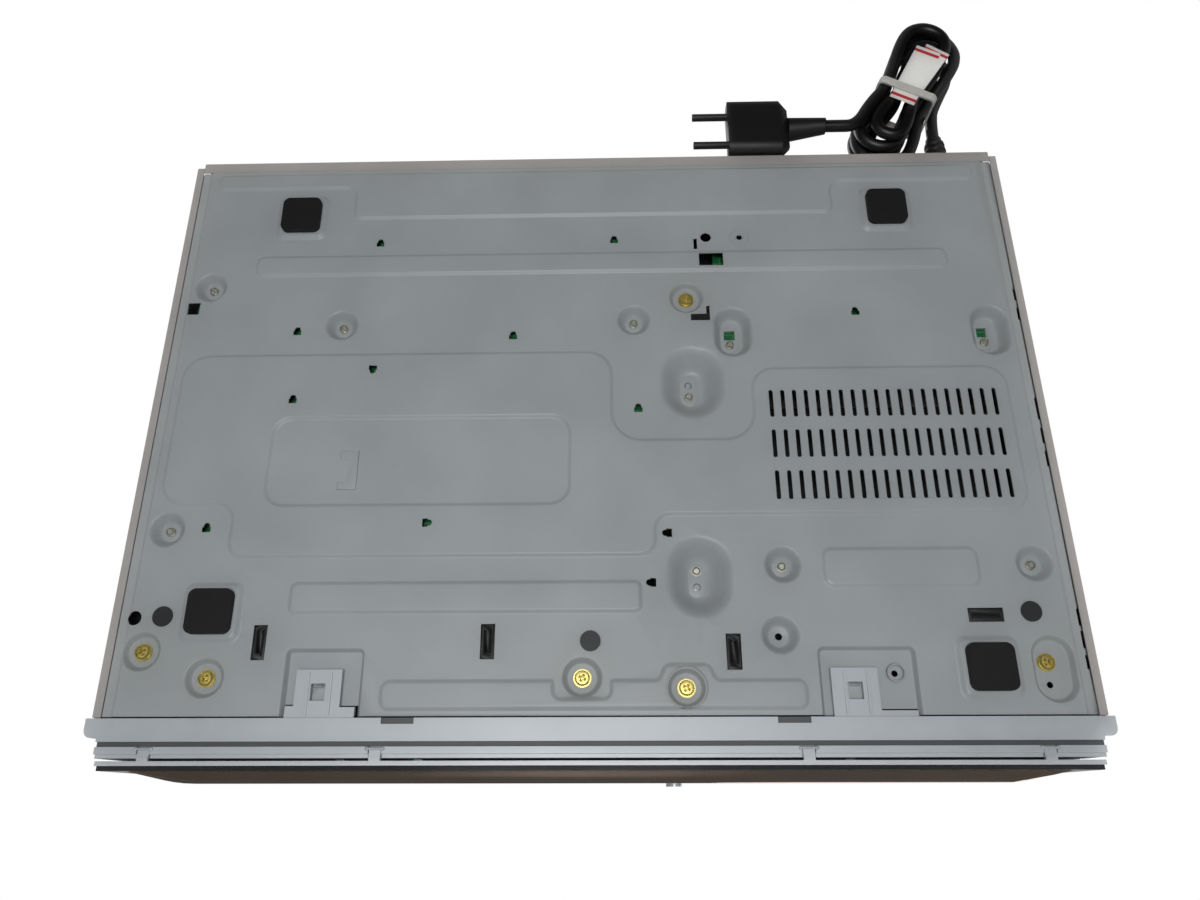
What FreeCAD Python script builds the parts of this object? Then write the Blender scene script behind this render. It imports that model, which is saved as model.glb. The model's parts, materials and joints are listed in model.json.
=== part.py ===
import FreeCAD, Part
import math
import os
import re
import Sketcher

# Disc recorder and video cassette combo, standing on its feet.
# +Z up, front towards -Y, origin on the floor below the middle of the case.

os.makedirs("parts", exist_ok=True)
doc = FreeCAD.newDocument("RecorderCombo")
sheet = doc.addObject("Spreadsheet::Sheet", "Sizes")
V = FreeCAD.Vector

SIZES = {
    # Case
    "case_width": 430,
    "case_depth": 285,
    "case_height": 88,
    "sheet_steel": 0.8,
    "foot_height": 3,
    "foot_side": 20,
    "foot_corner": 3.5,
    "pad_rise": 1.6,
    "bead_rise": 1.2,
    "side_strip": 3.7,
    "strip_step": 0.8,
    "edge_gap": 0.1,
    "front_gap": 0.7,
    "cover_lip": 3.6,
    "side_fold": 18,
    "panel_setback": 6,
    "cover_overhang": 3,
    "fit_gap": 0.3,
    "rear_reach": 16,
    "knob_reach": 27.2,
    # Front
    "bezel_depth": 16.2,
    "bezel_wall": 2,
    "bezel_side": 6,
    "wing_reach": 2,
    "wing_depth": 8,
    "bezel_base": 3.5,
    "fascia_gap": 1.1,
    "fascia_thick": 1.9,
    "window_thick": 2,
    "window_top": 47,
    "lip_reach": 4.8,
    "lip_rise": 6,
    "lip_base": 12,
    "tongue_thick": 2.4,
    "tongue_length": 20.3,
    # Disc drive
    "drive_side": 95,
    "drive_width": 146,
    "drive_depth": 160,
    "drive_base": 34,
    "drive_rise": 40,
    "drive_wall": 2.5,
    "tray_width": 130,
    "tray_length": 150,
    "tray_thick": 5,
    "tray_level": 60,
    "tray_front_width": 136,
    "tray_front_rise": 20,
    "disc_recess": 60.5,
    "gear_teeth": 18,
    "spindle_shaft": 1.5,
    "spindle_place": 55,
    # Tape deck
    "deck_side": 112,
    "deck_width": 196,
    "deck_level": 22,
    "deck_plate": 2,
    "cassette_width": 188,
    "cassette_depth": 104,
    "carriage_level": 50.5,
    "carriage_rise": 29,
    "carriage_wall": 1.2,
    "flap_width": 194,
    "flap_rise": 27,
    "flap_thick": 2,
    "flap_pin": 1.5,
    "drum_radius": 31,
    "reel_radius": 13,
    "reel_spacing": 92,
    "post_radius": 2.5,
    "capstan_radius": 2,
    "run_gap": 0.05,
    # Boards
    "board_thick": 1.6,
    "small_well": 5,
    "screw_well": 3,
    "power_well": 6.5,
    "drive_well": 10,
    "screw_radius": 1.5,
    "head_radius": 4,
    "head_rise": 1.8,
    # Buttons
    "button_travel": 0.8,
    "button_gap": 0.25,
    "button_stand": 1.6,
    # Mains lead
    "lead_width": 6.6,
    "lead_exit": -193,
    "hank_step": 7.65,
    "hank_layer": 7.1,
    "hank_inner": 8.1,
    "hank_draw": 4,
    "hank_run": 59.5,
    "hank_waist": 22,
    "hank_lift": 1.5,
}
for row, (alias, value) in enumerate(SIZES.items(), start=1):
    sheet.set(f"A{row}", alias)
    sheet.set(f"B{row}", str(value))
    sheet.setAlias(f"B{row}", alias)
doc.recompute()


def size(alias):
    """The sheet's value as a number, for shapes made in code."""
    return float(sheet.get(alias))


def ex(text):
    """An expression on the sheet's cells, written with bare aliases."""
    return re.sub(r"[a-z][a-z_]+", lambda word: "Sizes." + word.group() if word.group() in SIZES else word.group(),
                  str(text))


# Places that the pieces share, as expressions
FRONT = "((knob_reach - case_depth - rear_reach) / 2)"
REAR = f"({FRONT} + case_depth)"
REAR_FACE = f"({REAR} + panel_setback)"
HALF = "(case_width / 2)"
DRIVE_X = f"(drive_side - {HALF})"
DECK_X = f"({HALF} - deck_side)"
PAN = "(foot_height + pad_rise)"
PAN_TOP = f"({PAN} + sheet_steel)"
PAN_SIDE = f"({HALF} - cover_lip - edge_gap)"
FASCIA_BACK = f"({FRONT} - bezel_depth - fascia_gap)"
FASCIA_FACE = f"({FASCIA_BACK} - fascia_thick)"
WINDOW_FACE = f"({FASCIA_FACE} - window_thick)"
BOARD_LEVEL = f"({PAN_TOP} + small_well)"
BOARD_TOP = f"({BOARD_LEVEL} + board_thick)"
POWER_LEVEL = f"({PAN_TOP} + power_well)"
POWER_TOP = f"({POWER_LEVEL} + board_thick)"

# Screw places on the pan: from the nearer side and the chassis front edge
LEFT = f"(-{HALF})"
RIGHT = HALF


def near(x):
    """An X place held to the nearer side of the case, as is the drive's right edge, as an expression."""
    reference = 215
    if x < -60 or -49 < x < -46:
        return f"({LEFT} + {reference + x:.4g})"
    if x > 60:
        return f"({RIGHT} - {reference - x:.4g})"
    return f"({x})"


def deep(y):
    """A Y place held to the front edge of the chassis, or to its rear edge from the middle on."""
    if y > 160:
        return f"({REAR} - {285 - y:.4g})"
    return f"({FRONT} + {y:.4g})"


BOARD_SCREWS = [(196.3, 213), (126.5, 190), (-20.1, 191), (196.9, 83.8)]
POWER_SCREWS = [(-68, 179.3), (-194, 179.3)]
DRIVE_SCREWS = [(-46.7, 152.5), (-46.6, 64.9)]
BRACKET_SCREWS = [(-84.5, 65.5), (-195.9, 65.5)]
GUIDE_WELL = [(-81, 34.3)]
BRASS_SCREWS = [(-46.8, 203.5), (199, 28.3), (169.2, 16.8), (5.2, 16.4), (-39.6, 12.1), (-194.2, 22.4)]
FEET = [(170, 45.3), (-168.8, 20), (153.3, 254.6), (-152.3, 254.8)]

nodes = {}


def keep(obj, name):
    """Give a finished sub-part its own label and list it for export."""
    obj.Label = name
    nodes[name] = obj
    return obj


def bind(obj, **sizes):
    for prop, text in sizes.items():
        obj.setExpression(prop, ex(text))


def place(obj, x, y, z):
    for axis, text in zip("xyz", (x, y, z)):
        obj.setExpression(f"Placement.Base.{axis}", ex(text))


def box(x, y, z, length, width, height):
    """A block whose low corner is at x, y, z."""
    obj = doc.addObject("Part::Box", "Block")
    bind(obj, Length=length, Width=width, Height=height)
    place(obj, x, y, z)
    return obj


TURNS = {
    "+Z": FreeCAD.Rotation(),
    "+Y": FreeCAD.Rotation(V(1, 0, 0), -90),
    "-Y": FreeCAD.Rotation(V(1, 0, 0), 90),
    "+X": FreeCAD.Rotation(V(0, 1, 0), 90),
}


def rod(x, y, z, radius, height, way="+Z"):
    """A cylinder that starts at x, y, z and runs along way."""
    obj = doc.addObject("Part::Cylinder", "Rod")
    bind(obj, Radius=radius, Height=height)
    obj.Placement = FreeCAD.Placement(V(), TURNS[way])
    place(obj, x, y, z)
    return obj


def cone(x, y, z, first, last, height, way="+Z"):
    """A cone frustum from its first radius to its last one along way."""
    obj = doc.addObject("Part::Cone", "Taper")
    bind(obj, Radius1=first, Radius2=last, Height=height)
    obj.Placement = FreeCAD.Placement(V(), TURNS[way])
    place(obj, x, y, z)
    return obj


def join(*pieces):
    obj = doc.addObject("Part::MultiFuse", "Joined")
    obj.Shapes = list(pieces)
    return obj


def group(*pieces):
    """Separate solids that share one node."""
    obj = doc.addObject("Part::Compound", "Group")
    obj.Links = list(pieces)
    return obj


def cut(base, *tools):
    obj = doc.addObject("Part::Cut", "Cut")
    obj.Base = base
    obj.Tool = tools[0] if len(tools) == 1 else join(*tools)
    return obj


def round_edges(base, radius, wanted):
    """Round the edges of a block that the wanted test picks."""
    doc.recompute()
    obj = doc.addObject("Part::Fillet", "Rounded")
    obj.Base = base
    edges = [index for index, edge in enumerate(base.Shape.Edges, start=1) if wanted(edge)]
    obj.Edges = [(index, radius, radius) for index in edges]
    return obj


def upright(edge):
    """True for a straight edge along Z."""
    ends = [vertex.Point for vertex in edge.Vertexes]
    return len(ends) == 2 and abs(ends[0].x - ends[1].x) < 0.01 and abs(ends[0].y - ends[1].y) < 0.01


def forward(edge):
    """True for a straight edge along Y."""
    ends = [vertex.Point for vertex in edge.Vertexes]
    return len(ends) == 2 and abs(ends[0].x - ends[1].x) < 0.01 and abs(ends[0].z - ends[1].z) < 0.01


# Sketched bodies


def origin_plane(body, role):
    return next(item for item in body.Origin.OriginFeatures if item.Role == role)


def sketch(body, role, offset, polygons=(), circles=()):
    """A sketch on one of the body's origin planes, each corner and centre bound to the sheet."""
    made = body.newObject("Sketcher::SketchObject", "Outline")
    made.AttachmentSupport = (origin_plane(body, role), [""])
    made.MapMode = "FlatFace"
    made.setExpression("AttachmentOffset.Base.z", ex(offset))

    def tie(kind, geometry, point, value, text):
        index = made.addConstraint(Sketcher.Constraint(kind, -1, 1, geometry, point, value))
        made.setExpression(f"Constraints[{index}]", ex(text))

    for polygon in polygons:
        corners = [V(number(x), number(y), 0) for x, y in polygon]
        count = len(corners)
        first = made.addGeometry(Part.LineSegment(corners[0], corners[1]), False)
        for index in range(1, count):
            made.addGeometry(Part.LineSegment(corners[index], corners[(index + 1) % count]), False)
        for index, (x, y) in enumerate(polygon):
            following = first + (index + 1) % count
            made.addConstraint(Sketcher.Constraint("Coincident", first + index, 2, following, 1))
            tie("DistanceX", first + index, 1, corners[index].x, x)
            tie("DistanceY", first + index, 1, corners[index].y, y)
    for x, y, radius in circles:
        middle = V(number(x), number(y), 0)
        index = made.addGeometry(Part.Circle(middle, V(0, 0, 1), number(radius)), False)
        tie("DistanceX", index, 3, middle.x, x)
        tie("DistanceY", index, 3, middle.y, y)
        turn = made.addConstraint(Sketcher.Constraint("Radius", index, number(radius)))
        made.setExpression(f"Constraints[{turn}]", ex(radius))
    return made


def number(text):
    """The present value of an expression on the sheet."""
    values = {alias: size(alias) for alias in SIZES if alias in str(text)}
    plain = str(text)
    for alias in sorted(values, key=len, reverse=True):
        plain = re.sub(rf"\b{alias}\b", repr(values[alias]), plain)
    return FreeCAD.Units.Quantity(plain).Value


def rectangle(low_x, low_y, high_x, high_y):
    return [(low_x, low_y), (high_x, low_y), (high_x, high_y), (low_x, high_y)]


def pad(body, outline, length, reverse=False):
    made = body.newObject("PartDesign::Pad", "Pad")
    made.Profile = outline
    made.setExpression("Length", ex(length))
    made.Reversed = reverse
    outline.Visibility = False
    body.Tip = made
    return made


def pocket(body, outline, length, reverse=False):
    made = body.newObject("PartDesign::Pocket", "Pocket")
    made.Profile = outline
    made.setExpression("Length", ex(length))
    made.Reversed = reverse
    body.Tip = made
    return made


def new_body(name):
    return keep(doc.addObject("PartDesign::Body", name), name)


# Pressed sheet forms, which neither sketch pads nor primitives can bend


def shifted(outline, inset):
    """A polygon of (x, y, corner radius) moved inwards by inset, its corner radii following."""
    count = len(outline)
    area = sum(outline[i][0] * outline[(i + 1) % count][1] - outline[(i + 1) % count][0] * outline[i][1]
               for i in range(count))
    if area < 0:
        outline = outline[::-1]
    moved = []
    for i in range(count):
        before, here, after = outline[i - 1], outline[i], outline[(i + 1) % count]
        a = V(here[0] - before[0], here[1] - before[1], 0).normalize()
        b = V(after[0] - here[0], after[1] - here[1], 0).normalize()
        turn = a.x * b.y - a.y * b.x
        normal_a = V(-a.y, a.x, 0)
        normal_b = V(-b.y, b.x, 0)
        reach = (normal_a + normal_b) * (inset / (1 + normal_a.dot(normal_b)))
        radius = here[2] - inset if turn > 0 else here[2] + inset
        moved.append((here[0] + reach.x, here[1] + reach.y, max(radius, 0.2)))
    return moved


def rounded_wire(outline, level):
    """A closed wire of lines and corner arcs at the given height."""
    count = len(outline)
    spans = []
    for i in range(count):
        before, here, after = outline[i - 1], outline[i], outline[(i + 1) % count]
        corner = V(here[0], here[1], level)
        a = (V(before[0], before[1], level) - corner).normalize()
        b = (V(after[0], after[1], level) - corner).normalize()
        half = a.getAngle(b) / 2
        tangent = here[2] / math.tan(half)
        middle = corner + (a + b).normalize() * (here[2] / math.sin(half) - here[2])
        spans.append((corner + a * tangent, middle, corner + b * tangent))
    edges = []
    for i in range(count):
        start, middle, end = spans[i]
        edges.append(Part.Arc(start, middle, end).toShape())
        following = spans[(i + 1) % count][0]
        if (following - end).Length > 1e-4:
            edges.append(Part.LineSegment(end, following).toShape())
    return Part.Wire(edges)


def frustum(outline, low, low_inset, high, high_inset):
    """A solid between two levels whose outline is inset by its own amount at each."""
    return Part.makeLoft([rounded_wire(shifted(outline, low_inset), low),
                          rounded_wire(shifted(outline, high_inset), high)], True, True)


def eased(share):
    """The S-curve that pressed sheet follows between two levels, from 0 to 1."""
    return share * share * (3 - 2 * share)


def pressing(outline, low, low_inset, high, high_inset, steps, tail=0):
    """A solid whose wall runs in an S-curve between two levels, with an upright tail at its wide end."""
    stations = [(low + (high - low) * eased(step / steps), low_inset + (high_inset - low_inset) * step / steps)
                for step in range(steps + 1)]
    if tail > 0:
        stations.append((high + tail, high_inset))
    if tail < 0:
        stations.insert(0, (low + tail, low_inset))
    return Part.makeLoft([rounded_wire(shifted(outline, inset), level) for level, inset in stations], True, True)


BEAD_STEPS = 4
BEAD_SPREAD = 2


def bead(outline, rise, base, steel):
    """A bead pressed outwards from the sheet: what it adds below and what it clears above."""
    skin = 0.4 * steel
    ramp = BEAD_SPREAD * rise
    added = pressing(outline, base - rise, ramp, base, 0, BEAD_STEPS, steel / 2)
    cleared = pressing(outline, base - rise + steel, ramp + skin, base + steel, skin, BEAD_STEPS)
    return added, cleared


def block_outline(x1, y1, x2, y2, radius):
    return [(x1, y1, radius), (x2, y1, radius), (x2, y2, radius), (x1, y2, radius)]


def place_x(x):
    return number(near(x))


def place_y(y):
    return number(deep(y))


def on_pan(outline):
    """A pan outline given from the middle and the front edge, held to the case's sides."""
    return [(place_x(x), place_y(y), radius) for x, y, radius in outline]


REAR_BEAD = [(202.5, 272.2, 5), (202.5, 283.4, 5), (-201.8, 283.4, 5), (-201.8, 272.2, 5), (-126, 272.2, 5),
             (-126, 252.7, 5), (127.3, 252.7, 5), (127.3, 272.2, 5)]
LONG_BEAD = block_outline(-181, 218, 175, 231.4, 5)
MAIN_FIELD = [(203.5, 94.8, 12), (203.5, 174.2, 14), (-9.9, 174.2, 13), (-9.9, 127.3, 13), (-75.5, 127.3, 13),
              (-75.5, 164.2, 12), (-199.5, 164.2, 12), (-199.5, 88.2, 12), (-29, 88.2, 6), (-29, 69.3, 8),
              (168, 69.3, 8), (168, 94.8, 7)]
FIELD_ISLAND = block_outline(12.5, 96, 152.5, 137.8, 8)
ISLAND_MARK = [(120.5, 102.2, 1), (110.8, 102.2, 1), (110.8, 122.7, 1), (120.5, 122.7, 1), (120.5, 118.1, 1),
               (115, 118.1, 1), (115, 106.8, 1), (120.5, 106.8, 1)]
FRONT_FIELD = block_outline(-21.8, 43.8, 136.7, 59.3, 4)
SIDE_FIELD = block_outline(-171.8, 54.5, -101.5, 73.7, 5)
FRONT_BEAD = [(92.7, 2.3, 5), (92.7, 16.2, 5), (16.6, 16.2, 2.5), (16.6, 8.6, 2.5), (-6.2, 8.6, 2.5), (-6.2, 16.2, 2.5),
              (-27, 16.2, 2.5), (-30, 22.8, 5), (-50, 22.8, 5), (-53, 16.2, 2.5), (-91.5, 16.2, 5),
              (-91.5, 2.3, 5)]
OVAL_WELLS = [((-69, 183.8, 10, 14.2), "power_well"), ((-195.5, 183.4, 10, 14.4), "power_well"),
              ((-48, 156.6, 16.5, 20.1), "drive_well"), ((-47.4, 60.4, 15.4, 19.3), "drive_well"),
              ((-196.5, 19.5, 9.5, 14.5), "screw_well")]
LANCES = [(111, 238.7, 0), (-10.8, 238.8, 0), (148.6, 187, 0), (40, 183.2, 0), (-130.5, 194.7, 0), (-21.5, 143, 0),
          (146, 149, 0), (178.7, 84.7, 0), (108.3, 164.6, 180), (76.5, 86, 90), (-33.3, 80.7, -90),
          (-25.5, 57.8, -90)]
ROUND_HOLES = [(-58.2, 239.3, 2.75), (204.6, 43, 3.2), (-129.1, 18, 1.4), (-81, 34.3, 1.6), (-75.5, 239, 1.5),
               (-194.4, 13, 1.4), (-46.7, 158.9, 2), (-46.6, 57.6, 2)]
PLUG_HOLES = [(191.8, 43.6), (1.7, 32), (-190.5, 43.9)]
SQUARE_HOLES = [(-66.4, 221.7, -54.1, 229), (-53.6, 232.3, -51.8, 238.7), (-58.2, 190.5, -48.7, 194.2),
                (-58.2, 194.2, -56.5, 198.7), (200.3, 197.2, 206.7, 204), (-70.8, 182.2, -65.3, 187.4),
                (-196, 182.4, -190.8, 187.4)]
CLIP_SLOTS = [(147.2, 32, 6.1, 15.4), (46.6, 32, 6.3, 15.4), (-60.5, 27.2, 6.6, 15.5), (-170.8, 42.6, 15.3, 6.2)]
EDGE_NOTCHES = [(203.5, 7), (192.5, 7), (141, 11.5), (127, 8), (115.5, 8), (41.5, 7.5), (31.8, 7.5), (22.2, 6)]
VENT_ROWS = [144.1, 123.6, 103]
VENTS = {"first": -85, "pitch": 5.58, "count": 20, "width": 2, "length": 14.1}
LATCHES = {-111.1: [(-136.4, 16, 2.5)], 119: [(102.4, 7, 4.5), (128.5, 4, 5)]}
LATCH_POCKETS = [(-138.7, -96), (99.8, 135)]
ROUND_SLOPE = 0.95
OVAL_SLOPES = {"screw_well": 0.82, "power_well": 0.82, "drive_well": 1.2}
WELL_STEPS = 6


def round_well(x, y, lip, depth, base, steel):
    """A round well pressed inwards, as what it adds above the sheet and what it clears from below."""
    slope = ROUND_SLOPE * depth
    wide = 0.9 * steel
    stations = [(depth * eased(step / WELL_STEPS), lip - slope * step / WELL_STEPS) for step in range(WELL_STEPS + 1)]
    rings = [Part.Wire(Part.Circle(V(x, y, base + level), V(0, 0, 1), radius).toShape())
             for level, radius in [(-3, lip)] + stations]
    outer = [Part.Wire(Part.Circle(V(x, y, base + steel + level), V(0, 0, 1), radius + wide).toShape())
             for level, radius in stations]
    return Part.makeLoft(outer, True, True), Part.makeLoft(rings, True, True)


def oval_well(x, y, half_x, half_y, depth, slope, base, steel):
    """The same with an oval outline and a wall that takes its own width."""
    outline = block_outline(x - half_x, y - half_y, x + half_x, y + half_y, min(half_x, half_y) - 0.3)
    wide = 0.9 * steel
    added = pressing(outline, base + steel, -wide, base + steel + depth, slope - wide, WELL_STEPS)
    cleared = pressing(outline, base, 0, base + depth, slope, WELL_STEPS, -3)
    return added, cleared


def lance(x, y, turn, base):
    """A small bell-shaped hole."""
    hole = Part.makeBox(4, 2.5, 30, V(x - 2, y - 2.2, base - 6))
    hole = hole.fuse(Part.makeCylinder(1.5, 30, V(x, y + 0.8, base - 6)))
    hole.rotate(V(x, y, 0), V(0, 0, 1), turn)
    return hole


def bottom_chassis():
    """The pressed pan, with its beads, wells, vents, latch pockets and folded side walls."""
    base = number(PAN)
    steel = size("sheet_steel")
    side = number(PAN_SIDE)
    front = number(FRONT)
    rear = number(REAR)
    strip = size("side_strip")
    flat = side - strip
    step = size("strip_step")
    gap = size("front_gap")
    floor = Part.makeBox(2 * side, rear - front - gap, steel, V(-side, front + gap, base + step))
    more, less = bead(block_outline(-flat, front - 9, flat, rear + 9, 1), step, base + step, steel)
    added = [more]
    cleared = [less]
    for hand in (-1, 1):
        wall = min(hand * (side - steel), hand * side)
        added.append(Part.makeBox(steel, rear - front - gap, size("side_fold"), V(wall, front + gap, base + step)))
    rise = size("bead_rise")
    for outline in (REAR_BEAD, LONG_BEAD, MAIN_FIELD, FRONT_FIELD, SIDE_FIELD, FRONT_BEAD):
        more, less = bead(on_pan(outline), rise, base, steel)
        added.append(more)
        cleared.append(less)
    pad = 14
    for x, y in FEET:
        outline = block_outline(place_x(x) - pad, place_y(y) - pad, place_x(x) + pad, place_y(y) + pad, 5)
        more, less = bead(outline, size("pad_rise"), base, steel)
        added.append(more)
        cleared.append(less)
    pan = floor.multiFuse(added).cut(Part.makeCompound(cleared))
    island = on_pan(FIELD_ISLAND)
    ramp = BEAD_SPREAD * rise
    pan = pan.fuse(frustum(island, base - rise, -ramp - 0.8 * steel, base + steel, -0.8 * steel))
    pan = pan.cut(pressing(island, base - rise, -ramp, base, 0, BEAD_STEPS, -rise))
    pan = pan.cut(frustum(on_pan(ISLAND_MARK), base - 1, 0, base + 0.4, 0.3))
    added = []
    cleared = []
    rounds = [(spot, 8.8, "small_well") for spot in BOARD_SCREWS + BRACKET_SCREWS + GUIDE_WELL]
    rounds += [(spot, 9, "screw_well") for spot in BRASS_SCREWS[:-1]]
    for (x, y), lip, depth in rounds:
        more, less = round_well(place_x(x), place_y(y), lip, size(depth), base, steel)
        added.append(more)
        cleared.append(less)
    for (x, y, half_x, half_y), depth in OVAL_WELLS:
        slope = OVAL_SLOPES[depth] * size(depth)
        more, less = oval_well(place_x(x), place_y(y), half_x, half_y, size(depth), slope, base, steel)
        added.append(more)
        cleared.append(less)
    top = base + size("tongue_thick") + 0.6
    for low_x, high_x in LATCH_POCKETS:
        outline = block_outline(place_x(low_x), front - 4, place_x(high_x), front + 29.6, 3)
        added.append(pressing(outline, base + steel, -steel, top + steel, 2 - steel, BEAD_STEPS))
        cleared.append(pressing(outline, base, 0, top, 2, BEAD_STEPS, -3))
    limit = Part.makeBox(2 * side, rear - front - gap, 60, V(-side, front + gap, base - 5))
    pan = pan.multiFuse(added).cut(Part.makeCompound(cleared)).common(limit)
    holes = [lance(place_x(x), place_y(y), turn, base) for x, y, turn in LANCES]
    holes += [Part.makeCylinder(radius, 30, V(place_x(x), place_y(y), base - 6)) for x, y, radius in ROUND_HOLES]
    holes += [Part.makeCylinder(4, 30, V(place_x(x), place_y(y), base - 6)) for x, y in PLUG_HOLES]
    for x1, y1, x2, y2 in SQUARE_HOLES:
        holes.append(Part.makeBox(x2 - x1, y2 - y1, 30, V(place_x(x1), place_y(y1), base - 6)))
    for x, y, wide, long in CLIP_SLOTS:
        holes.append(Part.makeBox(wide, long, 30, V(place_x(x) - wide / 2, place_y(y) - long / 2, base - 6)))
    for y in VENT_ROWS:
        for index in range(VENTS["count"]):
            x = place_x(VENTS["first"]) - index * VENTS["pitch"]
            outline = block_outline(x - VENTS["width"] / 2, place_y(y) - VENTS["length"] / 2,
                                    x + VENTS["width"] / 2, place_y(y) + VENTS["length"] / 2, 0.9)
            holes.append(Part.Face(rounded_wire(outline, base - 6)).extrude(V(0, 0, 12)))
    room = 0.8
    for x in LATCHES:
        for low_x, wide, long in LATCHES[x]:
            holes.append(Part.makeBox(wide + 2 * room, long + room + 1, 30,
                                      V(place_x(low_x) - room, front - 1, base + 1)))
    for y, long in EDGE_NOTCHES:
        holes.append(Part.makeBox(1, long, 8, V(-side - 0.1, place_y(y) - long / 2, base - 1)))
    screw = size("screw_radius") + 0.1
    for x, y in BOARD_SCREWS + POWER_SCREWS + DRIVE_SCREWS + BRACKET_SCREWS + BRASS_SCREWS:
        holes.append(Part.makeCylinder(screw, 30, V(place_x(x), place_y(y), base - 6)))
    pan = pan.cut(Part.makeCompound(holes))
    hooks = []
    for x in LATCHES:
        hooks.append(Part.makeBox(4, 1, size("tongue_thick") + 0.8, V(place_x(x) - 2, front + 12.6, base)))
    pan = pan.multiFuse(hooks)
    made = doc.addObject("Part::Feature", "Pan")
    made.Shape = pan.removeSplitter()
    return keep(made, "bottom_chassis")


def top_cover():
    """The bent steel cover: top, two sides with vents and the lips folded under."""
    steel = "sheet_steel"
    shell = box(LEFT, f"{FRONT} + fit_gap", PAN, "case_width", "case_depth + cover_overhang", f"case_height - {PAN}")
    hollow = box(f"{LEFT} + {steel}", f"{FRONT} - 1", f"{PAN} + {steel}", f"case_width - 2 * {steel}",
                 "case_depth + 20", f"case_height - {PAN} - 2 * {steel}")
    below = box(f"{LEFT} + cover_lip", f"{FRONT} - 1", f"{PAN} - 1", "case_width - 2 * cover_lip",
                "case_depth + 20", f"{steel} + 4")
    slots = []
    for hand in ("left", "right"):
        side = f"{LEFT} - 1" if hand == "left" else f"{RIGHT} - 2"
        for row in range(2):
            for index in range(7):
                slots.append(box(side, f"{REAR} - {24 + 9 * index}", 24 + 22 * row, 3, 3, 14))
    return keep(cut(shell, hollow, below, *slots), "top_cover")


REAR_JACKS = [(-48 + 14 * column, 26 + 16 * row) for column in range(4) for row in range(2)]
SCARTS = [(36, 24), (96, 24)]
AERIALS = [(164, 24), (164, 42)]


def rear_panel():
    """The rear sheet with its bottom and top folds and the holes for the sockets."""
    steel = "sheet_steel"
    wide = PAN_SIDE
    sheet_part = box(f"-{wide}", f"{REAR_FACE} - {steel}", PAN, f"2 * {wide}", steel,
                     f"case_height - {PAN} - {steel} - fit_gap")
    bottom = box(f"-{wide}", f"{REAR} + 0.2", PAN, f"2 * {wide}", "panel_setback - 0.2", steel)
    top = box(f"-{wide}", f"{REAR_FACE} - 9", f"case_height - 2 * {steel} - fit_gap", f"2 * {wide}", 9, steel)
    holes = [rod(x, f"{REAR_FACE} - 3", z, 5, 6, "+Y") for x, z in REAR_JACKS]
    holes += [rod(x, f"{REAR_FACE} - 3", z, 6, 6, "+Y") for x, z in AERIALS]
    holes += [box(x - 24.5, f"{REAR_FACE} - 3", z - 8, 49, 6, 16) for x, z in SCARTS]
    holes.append(rod("lead_exit", f"{REAR_FACE} - 3", LEAD_LEVEL, 6.6, 6, "+Y"))
    holes += [rod(x, f"{REAR_FACE} - 3", "case_height - 8", "screw_radius + 0.1", 6, "+Y") for x in REAR_SCREWS]
    return keep(cut(join(sheet_part, bottom, top), *holes), "rear_panel")


REAR_SCREWS = [-190, 0, 190]
LEAD_LEVEL = "(hank_lift + lead_width / 2 + 3 * hank_layer)"


def feet():
    made = []
    for x, y in FEET:
        block = box(f"{near(x)} - foot_side / 2", f"{deep(y)} - foot_side / 2", 0, "foot_side", "foot_side",
                    "foot_height")
        made.append(round_edges(block, size("foot_corner"), upright))
    return keep(group(*made), "feet")


def screw(x, y, z, shank, up=True):
    """A pan-head screw: head below z and shank above it, or the other way up."""
    head = rod(x, y, z, "head_radius", "head_rise")
    if up:
        place(head, x, y, f"{z} - head_rise")
        return join(head, rod(x, y, f"{z} - 0.1", "screw_radius", shank))
    return join(head, rod(x, y, f"{z} - {shank}", "screw_radius", f"{shank} + 0.1"))


def case_screws():
    made = [screw(near(x), deep(y), f"({PAN} + screw_well)", 4.5) for x, y in BRASS_SCREWS]
    for x in REAR_SCREWS:
        head = rod(x, REAR_FACE, "case_height - 8", "head_radius - 0.6", "head_rise", "+Y")
        shank = rod(x, f"{REAR_FACE} - 5", "case_height - 8", "screw_radius", 5.1, "+Y")
        made.append(join(head, shank))
    return keep(group(*made), "case_screws")


def board_screws():
    made = [screw(near(x), deep(y), POWER_TOP, 4.5, up=False) for x, y in POWER_SCREWS]
    for places, level, top in ((BOARD_SCREWS, "small_well", 7), (BRACKET_SCREWS, "small_well", 5),
                               (DRIVE_SCREWS, "drive_well", 5)):
        for x, y in places:
            made.append(rod(near(x), deep(y), f"{PAN} + {level} - 1.5", "screw_radius", top))
    return keep(group(*made), "board_screws")


def hole_plugs():
    made = []
    for x, y in PLUG_HOLES:
        head = rod(near(x), deep(y), f"{PAN} - 0.8", 4.1 + 0.4, 0.8)
        made.append(join(head, rod(near(x), deep(y), f"{PAN} - 0.1", 3.8, "sheet_steel + 2")))
    return keep(group(*made), "hole_plugs")


def board_clips():
    made = []
    for x, y, wide, long in CLIP_SLOTS:
        stem = box(f"{near(x)} - {wide / 2 - 0.5}", f"{deep(y)} - {long / 2 - 0.5}", PAN, wide - 1, long - 1, 5)
        head = box(f"{near(x)} - {wide / 2 + 1}", f"{deep(y)} - {long / 2 + 1}", f"{PAN_TOP} + 0.05", wide + 2,
                   long + 2, 2)
        hollow = box(f"{near(x)} - {wide / 2 - 1.8}", f"{deep(y)} - {long / 2 - 3}", f"{PAN} - 1", wide - 3.6,
                     long - 6, 4)
        made.append(cut(join(stem, head), hollow))
    return keep(group(*made), "board_clips")


# Front

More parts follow.
